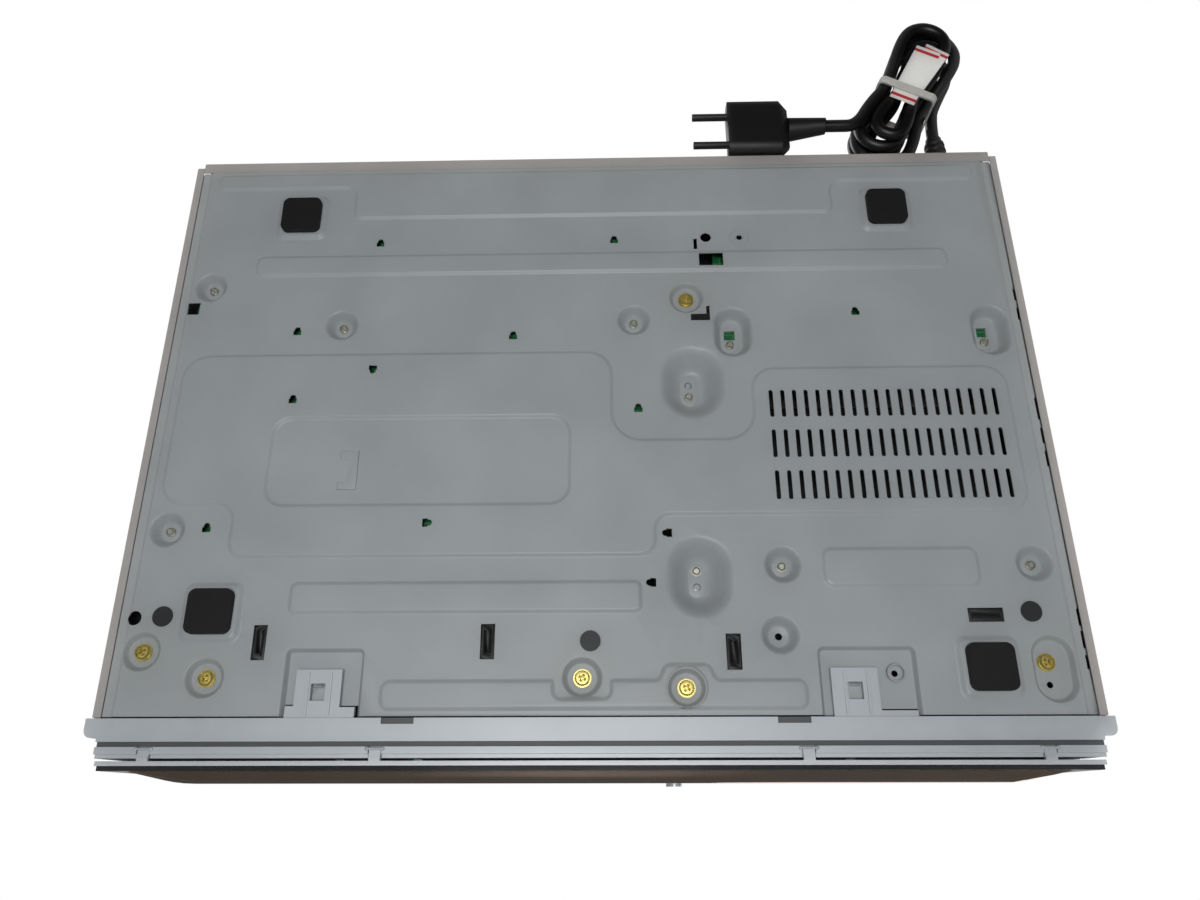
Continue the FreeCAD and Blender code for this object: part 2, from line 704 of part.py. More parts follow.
FRONT_INSIDE = f"({FRONT} - bezel_depth + bezel_wall)"
FRONT_BOARD = f"({FRONT} - 9)"
TRAY_MIDDLE = "(tray_level + 5)"
FLAP_PIVOT_Y = f"({FRONT} - 15.5)"
FLAP_PIVOT_Z = "(carriage_level + carriage_rise - 0.2)"
DOOR = {"low_x": "(case_width / 2 - 73)", "high_x": "(case_width / 2 - 19)", "low_z": 23.4, "high_z": 44.4}
DOOR_PIVOT_Y = f"({WINDOW_FACE} + window_thick / 2)"
DOOR_PIVOT_Z = 25.2
FACE_BUTTONS = {"tray_button": -37, "eject_button": -12}
LEDGE_BUTTONS = {"play_button": (77, 14), "stop_button": (94, 14), "record_button": (111, 14),
                 "channel_button": (-110, 12)}
LEDGE_LEVEL = "(lip_base + lip_rise + 4)"
STICK_LEVEL = f"({LEDGE_LEVEL} + 1.2)"
LEDGE_RISE = 4
POWER_PLACE = (-186, 36)
POWER_RADIUS = 6
STICK_X = -34
STICK_HOLE = 3.4
BUTTON_END = f"({FRONT_BOARD} - button_travel - 0.2)"


def tray_opening(margin):
    half = f"(tray_front_width / 2 + {margin})"
    rise = f"(tray_front_rise / 2 + {margin})"
    return rectangle(f"{DRIVE_X} - {half}", f"{TRAY_MIDDLE} - {rise}", f"{DRIVE_X} + {half}",
                     f"{TRAY_MIDDLE} + {rise}")


def flap_opening(margin):
    return rectangle(f"{DECK_X} - flap_width / 2 - {margin}", f"carriage_level + 1.2",
                     f"{DECK_X} + flap_width / 2 + {margin}", f"{FLAP_PIVOT_Z} + 3.9")


def door_opening():
    return rectangle(DOOR["low_x"], DOOR["low_z"], DOOR["high_x"], DOOR["high_z"])


def button_opening(x, z, wide, high, gap="button_gap"):
    return rectangle(f"{x} - {wide} / 2 - {gap}", f"{z} - {high} / 2 - {gap}", f"{x} + {wide} / 2 + {gap}",
                     f"{z} + {high} / 2 + {gap}")


def stem_openings():
    made = [button_opening(x, TRAY_MIDDLE, 4, 4) for x in FACE_BUTTONS.values()]
    made += [button_opening(x, LEDGE_LEVEL, 4, 3) for x, wide in LEDGE_BUTTONS.values()]
    return made


CLIPS = [190, 92, -89, -188]


def front_bezel():
    """The moulded frame that closes the case's front, with the latch tongues that reach under the pan."""
    body = doc.addObject("PartDesign::Body", "BezelFrame")
    half = f"({HALF} - 4)"
    wing = f"({HALF} + wing_reach)"
    inner = f"({HALF} - 4 - bezel_side)"
    pad(body, sketch(body, "XZ_Plane", f"-{FRONT}", [rectangle(f"-{half}", "bezel_base", half, "case_height")]),
        "bezel_depth")
    pad(body, sketch(body, "XZ_Plane", f"-{FRONT}", [rectangle(f"-{wing}", "bezel_base", wing, "case_height")]),
        "wing_depth")
    hollow = sketch(body, "XZ_Plane", f"-{FRONT}", [rectangle(f"-{inner}", "bezel_base + 4.5", inner,
                                                              "case_height - 3")])
    pocket(body, hollow, "bezel_depth - bezel_wall", True)
    openings = [tray_opening(0.8), flap_opening(1), door_opening(),
                rectangle(-62, 27.6, 62, 45)] + stem_openings()
    places = [(STICK_X, STICK_LEVEL, STICK_HOLE), (POWER_PLACE[0], POWER_PLACE[1], 2.5)]
    pocket(body, sketch(body, "XZ_Plane", f"-{FRONT}", openings, places), "bezel_depth + 1", True)
    extra = []
    for x in LATCHES:
        tongue = box(f"{near(x)} - 10", f"{FRONT} - 1", PAN, 20, "tongue_length + 1", "tongue_thick")
        window = box(f"{near(x)} - 3.15", f"{FRONT} + 7.2", f"{PAN} - 1", 6.3, 7.1, "tongue_thick + 2")
        shoulders = [box(near(low_x), f"{FRONT} - 1", PAN, wide, long + 1, "tongue_thick")
                     for low_x, wide, long in LATCHES[x]]
        ribs = [box(f"{near(x)} + {side} - 0.5", f"{FRONT} + 1", f"{PAN} - 0.5", 1, 18, 0.6) for side in (-5.4, 4.4)]
        extra.append(cut(join(tongue, *shoulders, *ribs), window))
    for hand in (-1, 1):
        ear_x = f"{DECK_X} + {hand} * (flap_width / 2 + 3) - 2"
        ear = box(ear_x, f"{FRONT_INSIDE} - 0.5", f"{FLAP_PIVOT_Z} - 4.5", 4, 4, 12.9)
        extra.append(ear)
    for x, z in BOSSES:
        extra.append(rod(near(x), f"{FRONT_INSIDE} - 0.5", z, 3, f"{FRONT_BOARD} - {FRONT_INSIDE} + 0.5", "+Y"))
    steps = [box(f"-{wing} - 1", f"{FRONT} - {low}", "bezel_base - 1", f"2 * {wing} + 2", wide, 2.5)
             for low, wide in ((11.6, 2), (16.3, 1.7))]
    for x in CLIPS:
        steps.append(box(f"{near(x)} - 2.8", f"{FRONT} - 16.4", "bezel_base - 1", 5.6, 5, 3.1))
    pivot = rod(f"{DECK_X} - flap_width / 2 - 6", FLAP_PIVOT_Y, FLAP_PIVOT_Z, "flap_pin + run_gap",
                "flap_width + 12", "+X")
    return keep(cut(join(body, *extra), pivot, *steps), "front_bezel")


BOSSES = [(-196, 18), (-70, 18), (58, 18), (196, 18), (-130, 46), (130, 46)]


def fascia():
    """The plate on the bezel, open for the tray, the tape flap, the jacks and the buttons."""
    body = doc.addObject("PartDesign::Body", "FasciaPlate")
    half = f"({HALF} - 5)"
    plate = sketch(body, "XZ_Plane", f"-{FASCIA_BACK}", [rectangle(f"-{half}", "bezel_base + 0.5", half,
                                                                   "case_height - 0.6")])
    pad(body, plate, "fascia_thick")
    openings = [tray_opening(0.4), flap_opening(0.4), door_opening(), rectangle(-60, 28.6, 60, 43)]
    openings += [button_opening(x, TRAY_MIDDLE, 12, 7) for x in FACE_BUTTONS.values()]
    openings += [button_opening(x, LEDGE_LEVEL, wide, LEDGE_RISE) for x, wide in LEDGE_BUTTONS.values()]
    places = [(STICK_X, STICK_LEVEL, STICK_HOLE), (POWER_PLACE[0], POWER_PLACE[1], f"{POWER_RADIUS} + button_gap")]
    pocket(body, sketch(body, "XZ_Plane", f"-{FASCIA_BACK}", openings, places), "fascia_thick + 1", True)
    extra = [box(f"{near(x)} - 2.5", f"{FASCIA_BACK} - 0.5", "bezel_base + 0.5", 5, "fascia_gap + 4.5", 1.2)
             for x in CLIPS]
    extra += [rod(near(x), f"{FASCIA_BACK} - 0.5", z, 2, "fascia_gap + 0.5", "+Y") for x, z in STUDS]
    return keep(join(body, *extra), "fascia")


STUDS = [(-200, 52), (200, 40), (-205, 84), (205, 84), (-20, 84), (-25, 50)]


def display_window():
    """The dark clear sheet over the lower half of the front."""
    body = new_body("display_window")
    half = f"({HALF} - 6)"
    plate = sketch(body, "XZ_Plane", f"-{FASCIA_FACE}", [rectangle(f"-{half}", "bezel_base + 0.8", half,
                                                                   "window_top")])
    pad(body, plate, "window_thick")
    openings = [door_opening()]
    openings += [button_opening(x, LEDGE_LEVEL, wide, LEDGE_RISE) for x, wide in LEDGE_BUTTONS.values()]
    places = [(STICK_X, STICK_LEVEL, STICK_HOLE), (POWER_PLACE[0], POWER_PLACE[1], f"{POWER_RADIUS} + button_gap")]
    pocket(body, sketch(body, "XZ_Plane", f"-{FASCIA_FACE}", openings, places), "window_thick + 1", True)
    bore = rectangle(f"{DOOR_PIVOT_Y} - 0.85", DOOR_PIVOT_Z - 0.85, f"{DOOR_PIVOT_Y} + 0.85", DOOR_PIVOT_Z + 0.85)
    pocket(body, sketch(body, "YZ_Plane", f"{DOOR['low_x']} - 2", [bore]), f"{DOOR['high_x']} - {DOOR['low_x']} + 4",
           True)
    return body


def control_lip():
    """The bright crescent below the display: softened edges, almost straight in front, pointed ends."""
    back = number(WINDOW_FACE)
    front = back - size("lip_reach")
    half = number(HALF) - 15
    spare = 4
    taper = 23
    stretch = spare * taper / size("lip_reach")
    outline = [(-half - stretch, back + spare, 1), (-half + taper, front, 60), (half - taper, front, 60),
               (half + stretch, back + spare, 1)]
    low = size("lip_base")
    high = low + size("lip_rise")
    soft = 1.2
    block = frustum(outline, low, soft, low + soft, 0)
    block = block.fuse(frustum(outline, low + soft, 0, high - soft, 0))
    block = block.fuse(frustum(outline, high - soft, 0, high, soft))
    behind = Part.makeBox(2 * half + 60, spare + 1, 3 * (high - low), V(-half - 30, back, low - (high - low)))
    made = doc.addObject("Part::Feature", "Lip")
    made.Shape = block.cut(behind).removeSplitter()
    return keep(made, "control_lip")


def av_flap():
    """The small door over the front jacks; it opens outwards about its lower edge."""
    low_x = f"({DOOR['low_x']} + 0.3)"
    high_x = f"({DOOR['high_x']} - 0.3)"
    plate = box(low_x, f"{WINDOW_FACE} + 0.1", DOOR_PIVOT_Z, f"{high_x} - {low_x}", "window_thick - 0.2",
                DOOR["high_z"] - DOOR_PIVOT_Z - 0.3)
    barrel = rod(low_x, DOOR_PIVOT_Y, DOOR_PIVOT_Z, "(window_thick - 0.2) / 2", f"{high_x} - {low_x}", "+X")
    pins = rod(f"{low_x} - 1.5", DOOR_PIVOT_Y, DOOR_PIVOT_Z, 0.8, f"{high_x} - {low_x} + 3", "+X")
    grip = box(f"({low_x} + {high_x}) / 2 - 8", f"{WINDOW_FACE} - 0.9", DOOR["high_z"] - 2.3, 16, 1.2, 1.5)
    return keep(join(plate, barrel, pins, grip), "av_flap")


def front_jacks():
    made = []
    for index in range(4):
        x = f"({DOOR['low_x']} + {8 + 12.6 * index})"
        barrel = rod(x, f"{FRONT_BOARD}", 34, 4.2, 9, "-Y")
        base = box(f"{x} - 5.5", f"{FRONT_BOARD} - 4", 28.5, 11, 4, 11)
        bore = rod(x, f"{FRONT_BOARD} - 3.5", 34, 3.1 if index < 3 else 3.4, 6, "-Y")
        made.append(join(cut(join(barrel, base), bore), rod(x, f"{FRONT_BOARD} - 3", 34, 0.9, 4.5, "-Y")))
    return keep(group(*made), "front_jacks")


def front_board():
    return keep(box(f"{LEFT} + 13", FRONT_BOARD, 14, "case_width - 26", "board_thick", 36), "front_board")


def display_tube():
    """The glass display tube behind the dark window, with its pinched-off pip."""
    glass = box(-60, f"{FRONT_BOARD} - 4.9", 27, 120, 4.9, 16)
    pip = rod(58, f"{FRONT_BOARD} - 2.5", 35, 1.5, 5, "+X")
    return keep(join(glass, pip), "display_tube")


def face_button(name, x, z, wide, high, face):
    """A push button: its cap in the front and its stem towards the switch on the board."""
    cap = round_edges(box(f"{x} - {wide} / 2", f"{face} - button_stand", f"{z} - {high} / 2", wide,
                          f"{FASCIA_BACK} - {face} + button_stand + 0.2", high), 0.8, forward)
    stem = box(f"{x} - 2", f"{FASCIA_BACK} - 0.5", f"{z} - {3 if high == LEDGE_RISE else 4} / 2", 4,
               f"{BUTTON_END} - {FASCIA_BACK} + 0.5", 3 if high == LEDGE_RISE else 4)
    return keep(join(cap, stem), name)


def buttons():
    for name, x in FACE_BUTTONS.items():
        face_button(name, x, TRAY_MIDDLE, 12, 7, FASCIA_FACE)
    for name, (x, wide) in LEDGE_BUTTONS.items():
        face_button(name, x, LEDGE_LEVEL, wide, LEDGE_RISE, WINDOW_FACE)
    x, z = POWER_PLACE
    cap = rod(x, f"{FASCIA_BACK} + 0.2", z, POWER_RADIUS, f"{FASCIA_BACK} - {WINDOW_FACE} + button_stand + 0.2", "-Y")
    stem = rod(x, BUTTON_END, z, 2, f"{BUTTON_END} - {FASCIA_BACK} + 0.5", "-Y")
    keep(join(cap, stem), "power_button")


def joystick():
    """A small stick that tips on its base and stands out past the lip."""
    tip = f"({FRONT} - knob_reach)"
    knob = rod(STICK_X, f"{tip} + 4.6", STICK_LEVEL, 3.5, 4.6, "-Y")
    stem = rod(STICK_X, f"{FRONT_BOARD} - 1", STICK_LEVEL, 1.8, f"{FRONT_BOARD} - 1 - {tip} - 2", "-Y")
    foot = rod(STICK_X, f"{FRONT_BOARD} - 0.6", STICK_LEVEL, 3, 2.2, "-Y")
    pin = rod(f"{STICK_X} - 4.5", f"{FRONT_BOARD} - 1.7", STICK_LEVEL, 1, 9, "+X")
    return keep(join(knob, stem, foot, pin), "joystick")


# Disc drive

DRIVE_LEFT = f"({DRIVE_X} - drive_width / 2)"
DRIVE_FRONT = f"({FRONT} - 5)"
DRIVE_FLOOR = "(drive_base + drive_wall)"
SPINDLE_Y = f"({FRONT} + spindle_place)"
TRAY_FRONT_BACK = f"({FASCIA_BACK} - 0.3)"
RACK_X = f"({DRIVE_X} - 56)"
GEAR_X = f"({RACK_X} + gear_teeth / 2)"
GEAR_Y = f"({FRONT} + 3)"
GEAR_LOW = "(tray_level - 4.5)"
RAILS = [-18, 18]
SLED_Y = f"({SPINDLE_Y} + 24)"
RAIL_LEVEL = "(tray_level - 7.5)"


def drive_frame():
    """The drive's tub, on legs that stand on the pan's wells, with the tray's ledges and the rail posts."""
    tub = box(DRIVE_LEFT, DRIVE_FRONT, "drive_base", "drive_width", "drive_depth", "drive_rise")
    hollow = box(f"{DRIVE_LEFT} + drive_wall", f"{DRIVE_FRONT} + drive_wall", DRIVE_FLOOR,
                 "drive_width - 2 * drive_wall", "drive_depth - 2 * drive_wall", "drive_rise")
    mouth = box(f"{DRIVE_LEFT} + drive_wall", f"{DRIVE_FRONT} - 1", "tray_level - 6", "drive_width - 2 * drive_wall",
                "drive_wall + 2", "drive_rise")
    extra = []
    ledge = f"({DRIVE_LEFT} + drive_wall - 0.5)"
    rise = "(tray_level - fit_gap - 56)"
    extra.append(box(ledge, DRIVE_FRONT, 56, "(drive_width - tray_width) / 2 - drive_wall + 3.5", "drive_depth - 2",
                     rise))
    extra.append(box(f"{DRIVE_X} + tray_width / 2 - 3", DRIVE_FRONT, 56,
                     "(drive_width - tray_width) / 2 - drive_wall + 3.5", "drive_depth - 2", rise))
    for x in RAILS:
        for y in (f"{SPINDLE_Y} + 16", f"{SPINDLE_Y} + 80"):
            extra.append(box(f"{DRIVE_X} + {x} - 3", y, f"{DRIVE_FLOOR} - 0.5", 6, 4,
                             f"{RAIL_LEVEL} - {DRIVE_FLOOR} + 3.5"))
    extra.append(rod(GEAR_X, GEAR_Y, f"{DRIVE_FLOOR} - 0.5", 5, f"{GEAR_LOW} - {DRIVE_FLOOR} + 0.2"))
    extra.append(rod(GEAR_X, GEAR_Y, f"{DRIVE_FLOOR} - 0.5", "spindle_shaft",
                     f"tray_level - fit_gap - {DRIVE_FLOOR} + 0.5"))
    holes = []
    legs = [(spot, "drive_well") for spot in DRIVE_SCREWS] + [(spot, "small_well") for spot in BRACKET_SCREWS]
    for (x, y), depth in legs:
        foot = f"({PAN_TOP} + {depth})"
        inset = f"({near(x)} - 5)" if x < -150 else f"({near(x)} - 6)"
        extra.append(box(inset, f"{deep(y)} - 5", foot, 11, 10, f"drive_base - {foot} + 1"))
        holes.append(rod(near(x), deep(y), f"{foot} - 1", "screw_radius + 0.1", 8))
    holes += [rod(f"{DRIVE_X} + {x}", f"{SPINDLE_Y} + 15", RAIL_LEVEL, "spindle_shaft + run_gap", 70, "+Y")
              for x in RAILS]
    return keep(cut(join(cut(tub, hollow, mouth), *extra), *holes), "drive_frame")


def drive_lid():
    plate = box(DRIVE_LEFT, DRIVE_FRONT, "drive_base + drive_rise", "drive_width", "drive_depth", "sheet_steel")
    rib = box(f"{DRIVE_X} - drive_width / 2 + 6", f"{SPINDLE_Y} - 8", "drive_base + drive_rise + sheet_steel - 0.1",
              "drive_width / 2 - 26", 16, 1.2)
    other = box(f"{DRIVE_X} + 20", f"{SPINDLE_Y} - 8", "drive_base + drive_rise + sheet_steel - 0.1",
                "drive_width / 2 - 26", 16, 1.2)
    hole = rod(f"{DRIVE_X}", SPINDLE_Y, "drive_base + drive_rise - 1", "15", 4)
    return keep(cut(join(plate, rib, other), hole), "drive_lid")


def disc_clamper():
    top = f"(drive_base + drive_rise + sheet_steel + fit_gap)"
    flange = rod(f"{DRIVE_X}", SPINDLE_Y, top, 17.5, 1.6)
    hub = rod(f"{DRIVE_X}", SPINDLE_Y, f"{top} - 6", 14.6, 6.1)
    return keep(join(flange, hub), "disc_clamper")


def rack_tooth(index):
    """One rack tooth that points at the gear, as a small wedge."""
    pitch = math.pi
    x = number(RACK_X)
    y = number(GEAR_Y) + (index + 0.5) * pitch
    low = number(GEAR_LOW)
    points = [V(x - 1.2, y - 1.0, low), V(x + 0.75, y - 0.45, low), V(x + 0.75, y + 0.45, low), V(x - 1.2, y + 1.0, low)]
    return Part.Face(Part.makePolygon(points + points[:1])).extrude(V(0, 0, 4))


def disc_tray():
    """The tray: disc recess, slot for the spindle and pickup, and the rack under its left edge."""
    body = doc.addObject("PartDesign::Body", "TrayPlate")
    half = "(tray_width / 2)"
    outline = rectangle(f"{DRIVE_X} - {half}", TRAY_FRONT_BACK, f"{DRIVE_X} + {half}",
                        f"{TRAY_FRONT_BACK} + tray_length")
    pad(body, sketch(body, "XY_Plane", "tray_level", [outline]), "tray_thick")
    recess = sketch(body, "XY_Plane", "tray_level + tray_thick", [], [(f"{DRIVE_X}", SPINDLE_Y, "disc_recess")])
    pocket(body, recess, "tray_thick / 2")
    inner = sketch(body, "XY_Plane", "tray_level + tray_thick / 2", [], [(f"{DRIVE_X}", SPINDLE_Y, "41")])
    pocket(body, inner, 1)
    slot = sketch(body, "XY_Plane", "tray_level + tray_thick",
                  [rectangle(f"{DRIVE_X} - 20", SPINDLE_Y, f"{DRIVE_X} + 20",
                             f"{TRAY_FRONT_BACK} + tray_length + 1")])
    pocket(body, slot, "tray_thick + 1")
    centre = sketch(body, "XY_Plane", "tray_level + tray_thick", [], [(f"{DRIVE_X}", SPINDLE_Y, "20")])
    pocket(body, centre, "tray_thick + 1")
    bar = box(f"{RACK_X} - 4", f"{TRAY_FRONT_BACK} + 4", GEAR_LOW, 3, "tray_length - 4", "tray_level - "
              f"{GEAR_LOW} + 0.5")
    count = int((size("tray_length") - 22) / math.pi)
    first = math.ceil((number(TRAY_FRONT_BACK) + 6 - number(GEAR_Y)) / math.pi)
    teeth = doc.addObject("Part::Feature", "RackTeeth")
    teeth.Shape = Part.makeCompound([rack_tooth(first + index) for index in range(count)])
    return keep(join(body, bar, teeth), "disc_tray")


def tray_front():
    """The tray's narrow front plate with softly rounded ends."""
    plate = box(f"{DRIVE_X} - tray_front_width / 2", f"{FASCIA_FACE} - 0.8", f"{TRAY_MIDDLE} - tray_front_rise / 2",
                "tray_front_width", f"{TRAY_FRONT_BACK} - {FASCIA_FACE} + 0.8", "tray_front_rise")
    return keep(round_edges(plate, 2, forward), "tray_front")


def tray_gear():
    """The gear that drives the rack, with straight-sided teeth."""
    teeth = int(size("gear_teeth"))
    pitch_radius = teeth / 2
    low = number(GEAR_LOW)
    root = pitch_radius - 1.1
    disc = Part.makeCylinder(root, 4, V(0, 0, low))
    wedges = []
    for index in range(teeth):
        points = [V(root - 0.4, -1.0, low), V(pitch_radius + 0.8, -0.4, low), V(pitch_radius + 0.8, 0.4, low),
                  V(root - 0.4, 1.0, low)]
        wedge = Part.Face(Part.makePolygon(points + points[:1])).extrude(V(0, 0, 4))
        wedge.rotate(V(), V(0, 0, 1), 180 + index * 360 / teeth)
        wedges.append(wedge)
    gear = disc.multiFuse(wedges).cut(Part.makeCylinder(size("spindle_shaft") + size("run_gap"), 10, V(0, 0, low - 2)))
    made = doc.addObject("Part::Feature", "Gear")
    made.Shape = gear.removeSplitter()
    made.Placement = FreeCAD.Placement(V(number(GEAR_X), number(GEAR_Y), 0), FreeCAD.Rotation())
    return keep(made, "tray_gear")


def spindle_motor():
    can = rod(f"{DRIVE_X}", SPINDLE_Y, DRIVE_FLOOR, 14, 12)
    bore = rod(f"{DRIVE_X}", SPINDLE_Y, f"{DRIVE_FLOOR} + 3", "spindle_shaft + run_gap", 12)
    return keep(cut(can, bore), "spindle_motor")


def disc_spindle():
    """The turntable, its disc cone and its shaft in the motor."""
    shaft = rod(f"{DRIVE_X}", SPINDLE_Y, f"{DRIVE_FLOOR} + 3.5", "spindle_shaft", f"tray_level - {DRIVE_FLOOR} - 5")
    table = rod(f"{DRIVE_X}", SPINDLE_Y, "tray_level - 3", 15, 2.2)
    hub = cone(f"{DRIVE_X}", SPINDLE_Y, "tray_level - 0.9", 7.4, 6.2, 2.4)
    collar = rod(f"{DRIVE_X}", SPINDLE_Y, f"{DRIVE_FLOOR} + 12.3", 6, f"tray_level - {DRIVE_FLOOR} - 15.2")
    return keep(join(shaft, table, hub, collar), "disc_spindle")


def pickup_sled():
    block = box(f"{DRIVE_X} - 22", f"{SLED_Y} - 2", f"{RAIL_LEVEL} - 3", 44, 24, 6)
    lens = rod(f"{DRIVE_X}", f"{SLED_Y} + 10", f"{RAIL_LEVEL} + 2.5", 4, 2)
    bores = [rod(f"{DRIVE_X} + {x}", f"{SLED_Y} - 4", RAIL_LEVEL, "spindle_shaft + run_gap", 30, "+Y")
             for x in RAILS]
    return keep(cut(join(block, lens), *bores), "pickup_sled")


def pickup_rails():
    made = [rod(f"{DRIVE_X} + {x}", f"{SPINDLE_Y} + 16", RAIL_LEVEL, "spindle_shaft", 68, "+Y") for x in RAILS]
    return keep(group(*made), "pickup_rails")


# Tape deck

DECK_TOP = "(deck_level + deck_plate)"
DECK_FRONT = f"({FRONT} + 14)"
DECK_LEFT = f"min(5; {DECK_X} - deck_width / 2)"
CARRIAGE_HALF = "(cassette_width / 2 + 0.8 + carriage_wall)"
CARRIAGE_DEPTH = "(cassette_depth + 4)"
DRUM_Y = f"({DECK_FRONT} + 146)"
DRUM_SPLIT = 42
REEL_Y = f"({DECK_FRONT} + 58)"
CAPSTAN = (f"({DECK_X} + 55)", f"({DECK_FRONT} + 114)")
PINCH = (f"({DECK_X} + 66.5)", f"({DECK_FRONT} + 120)")
PINCH_PIN = 2
GUIDES = [(f"({DECK_X} - 37)", f"({DECK_FRONT} + 128)"), (f"({DECK_X} + 37)", f"({DECK_FRONT} + 128)"),
          (f"({DECK_X} - 43)", f"({DECK_FRONT} + 116)"), (f"({DECK_X} + 43)", f"({DECK_FRONT} + 116)")]
REELS = {"supply_reel": f"({DECK_X} - reel_spacing / 2)", "takeup_reel": f"({DECK_X} + reel_spacing / 2)"}


def deck_frame():
    """The deck plate on its legs, with the walls that guide the carriage and the fixed posts."""
    plate = box(DECK_LEFT, DECK_FRONT, "deck_level", f"{DECK_X} + deck_width / 2 - {DECK_LEFT}",
                f"{REAR} - 63 - {DECK_FRONT}", "deck_plate")
    extra = []
    for hand in (-1, 1):
        wall = f"{DECK_X} + {hand} * ({CARRIAGE_HALF} + fit_gap + 0.75) - 0.75"
        extra.append(box(wall, DECK_FRONT, "deck_level", 1.5, CARRIAGE_DEPTH,
                         "carriage_level + carriage_rise - deck_level"))
    holes = []
    for x, y in BOARD_SCREWS:
        extra.append(box(f"{near(x)} - 5", f"{deep(y)} - 5", BOARD_TOP, 10, 10, f"{DECK_TOP} - {BOARD_TOP}"))
        holes.append(rod(near(x), deep(y), f"{BOARD_TOP} - 1", "screw_radius + 0.1", 6))
    for x, y in (BRASS_SCREWS[1], BRASS_SCREWS[3]):
        foot = f"({PAN_TOP} + screw_well)"
        extra.append(box(f"{near(x)} - 5", f"{deep(y)} - 5", foot, 10, 10, f"{DECK_TOP} - {foot}"))
        holes.append(rod(near(x), deep(y), f"{foot} - 1", "screw_radius + 0.1", 6))
    x, y = BOARD_SCREWS[2]
    extra.append(box(f"{near(x)} - 5", f"{deep(y)} - 7", "deck_level", f"{DECK_LEFT} - {near(x)} + 8", 14,
                     "deck_plate"))
    for x in REELS.values():
        extra.append(rod(x, REEL_Y, f"{DECK_TOP} - 0.5", 2, 14))
    x, y = CAPSTAN
    extra.append(rod(x, y, f"{DECK_TOP} - 0.5", 6, 6.5))
    holes.append(rod(x, y, "deck_level - 1", "capstan_radius + run_gap", 10))
    return keep(cut(join(plate, *extra), *holes), "deck_frame")


def drum_base():
    base = rod(f"{DECK_X}", DRUM_Y, DECK_TOP, "drum_radius", f"{DRUM_SPLIT} - {DECK_TOP}")
    bore = rod(f"{DECK_X}", DRUM_Y, f"{DECK_TOP} + 4", "3 + run_gap", 40)
    ramp = rod(f"{DECK_X}", DRUM_Y, DECK_TOP, "drum_radius + 1.5", 8)
    return keep(cut(join(base, ramp), bore), "drum_base")


def head_drum():
    """The upper drum that carries the heads, with its stepped top and its shaft."""
    drum = rod(f"{DECK_X}", DRUM_Y, DRUM_SPLIT + 0.3, "drum_radius", 15)
    step = rod(f"{DECK_X}", DRUM_Y, DRUM_SPLIT + 12, "drum_radius - 4", 6)
    well = rod(f"{DECK_X}", DRUM_Y, DRUM_SPLIT + 15.5, "drum_radius - 14", 4)
    shaft = rod(f"{DECK_X}", DRUM_Y, f"{DECK_TOP} + 4.5", 3, 20)
    return keep(join(cut(join(drum, step), well), shaft), "head_drum")


def capstan():
    """The capstan's shaft and the flywheel under the deck plate."""
    x, y = CAPSTAN
    shaft = rod(x, y, "deck_level - 7", "capstan_radius", 42)
    wheel = rod(x, y, "deck_level - 5", 18, 4)
    return keep(join(shaft, wheel), "capstan")


def pinch_roller():
    x, y = PINCH
    tyre = rod(x, y, f"{DECK_TOP} + 12", 6, 14)
    return keep(cut(tyre, rod(x, y, f"{DECK_TOP} + 10", f"{PINCH_PIN} + run_gap", 20)), "pinch_roller")


def reel(name, x):
    """A reel table with its toothed post, turning on the deck's pin."""
    table = rod(x, REEL_Y, f"{DECK_TOP} + fit_gap", "reel_radius", 3)
    post = rod(x, REEL_Y, f"{DECK_TOP} + 1", 5, 18)
    wings = [box(f"{x} - 6", f"{REEL_Y} - 0.8", f"{DECK_TOP} + 1", 12, 1.6, 15),
             box(f"{x} - 0.8", f"{REEL_Y} - 6", f"{DECK_TOP} + 1", 1.6, 12, 15)]
    bore = rod(x, REEL_Y, f"{DECK_TOP} - 1", "2 + run_gap", 16)
    return keep(cut(join(table, post, *wings), bore), name)


def tape_guides():
    made = []
    for x, y in GUIDES:
        post = rod(x, y, DECK_TOP, "post_radius", 32)
        collars = [rod(x, y, f"{DECK_TOP} + {level}", "post_radius + 1", 2) for level in (0, 12, 28)]
        made.append(join(post, *collars))
    x, y = PINCH
    pin = rod(x, y, DECK_TOP, PINCH_PIN, 29)
    made.append(join(pin, rod(x, y, DECK_TOP, 4, 11.7), rod(x, y, f"{DECK_TOP} + 26.3", 3.4, 1.5)))
    return keep(group(*made), "tape_guides")


def tape_carriage():
    """The sheet cage that takes the cassette and lowers it on the reels."""
    low_x = f"({DECK_X} - {CARRIAGE_HALF})"
    shell = box(low_x, DECK_FRONT, "carriage_level", f"2 * {CARRIAGE_HALF}", CARRIAGE_DEPTH, "carriage_rise")
    hollow = box(f"{low_x} + carriage_wall", f"{DECK_FRONT} - 1", "carriage_level + carriage_wall",
                 f"2 * ({CARRIAGE_HALF} - carriage_wall)", f"{CARRIAGE_DEPTH} + 1 - carriage_wall",
                 "carriage_rise - 2 * carriage_wall")
    holes = [rod(x, REEL_Y, "carriage_level - 1", "reel_radius + 3", "carriage_wall + 2") for x in REELS.values()]
    return keep(cut(shell, hollow, *holes), "tape_carriage")


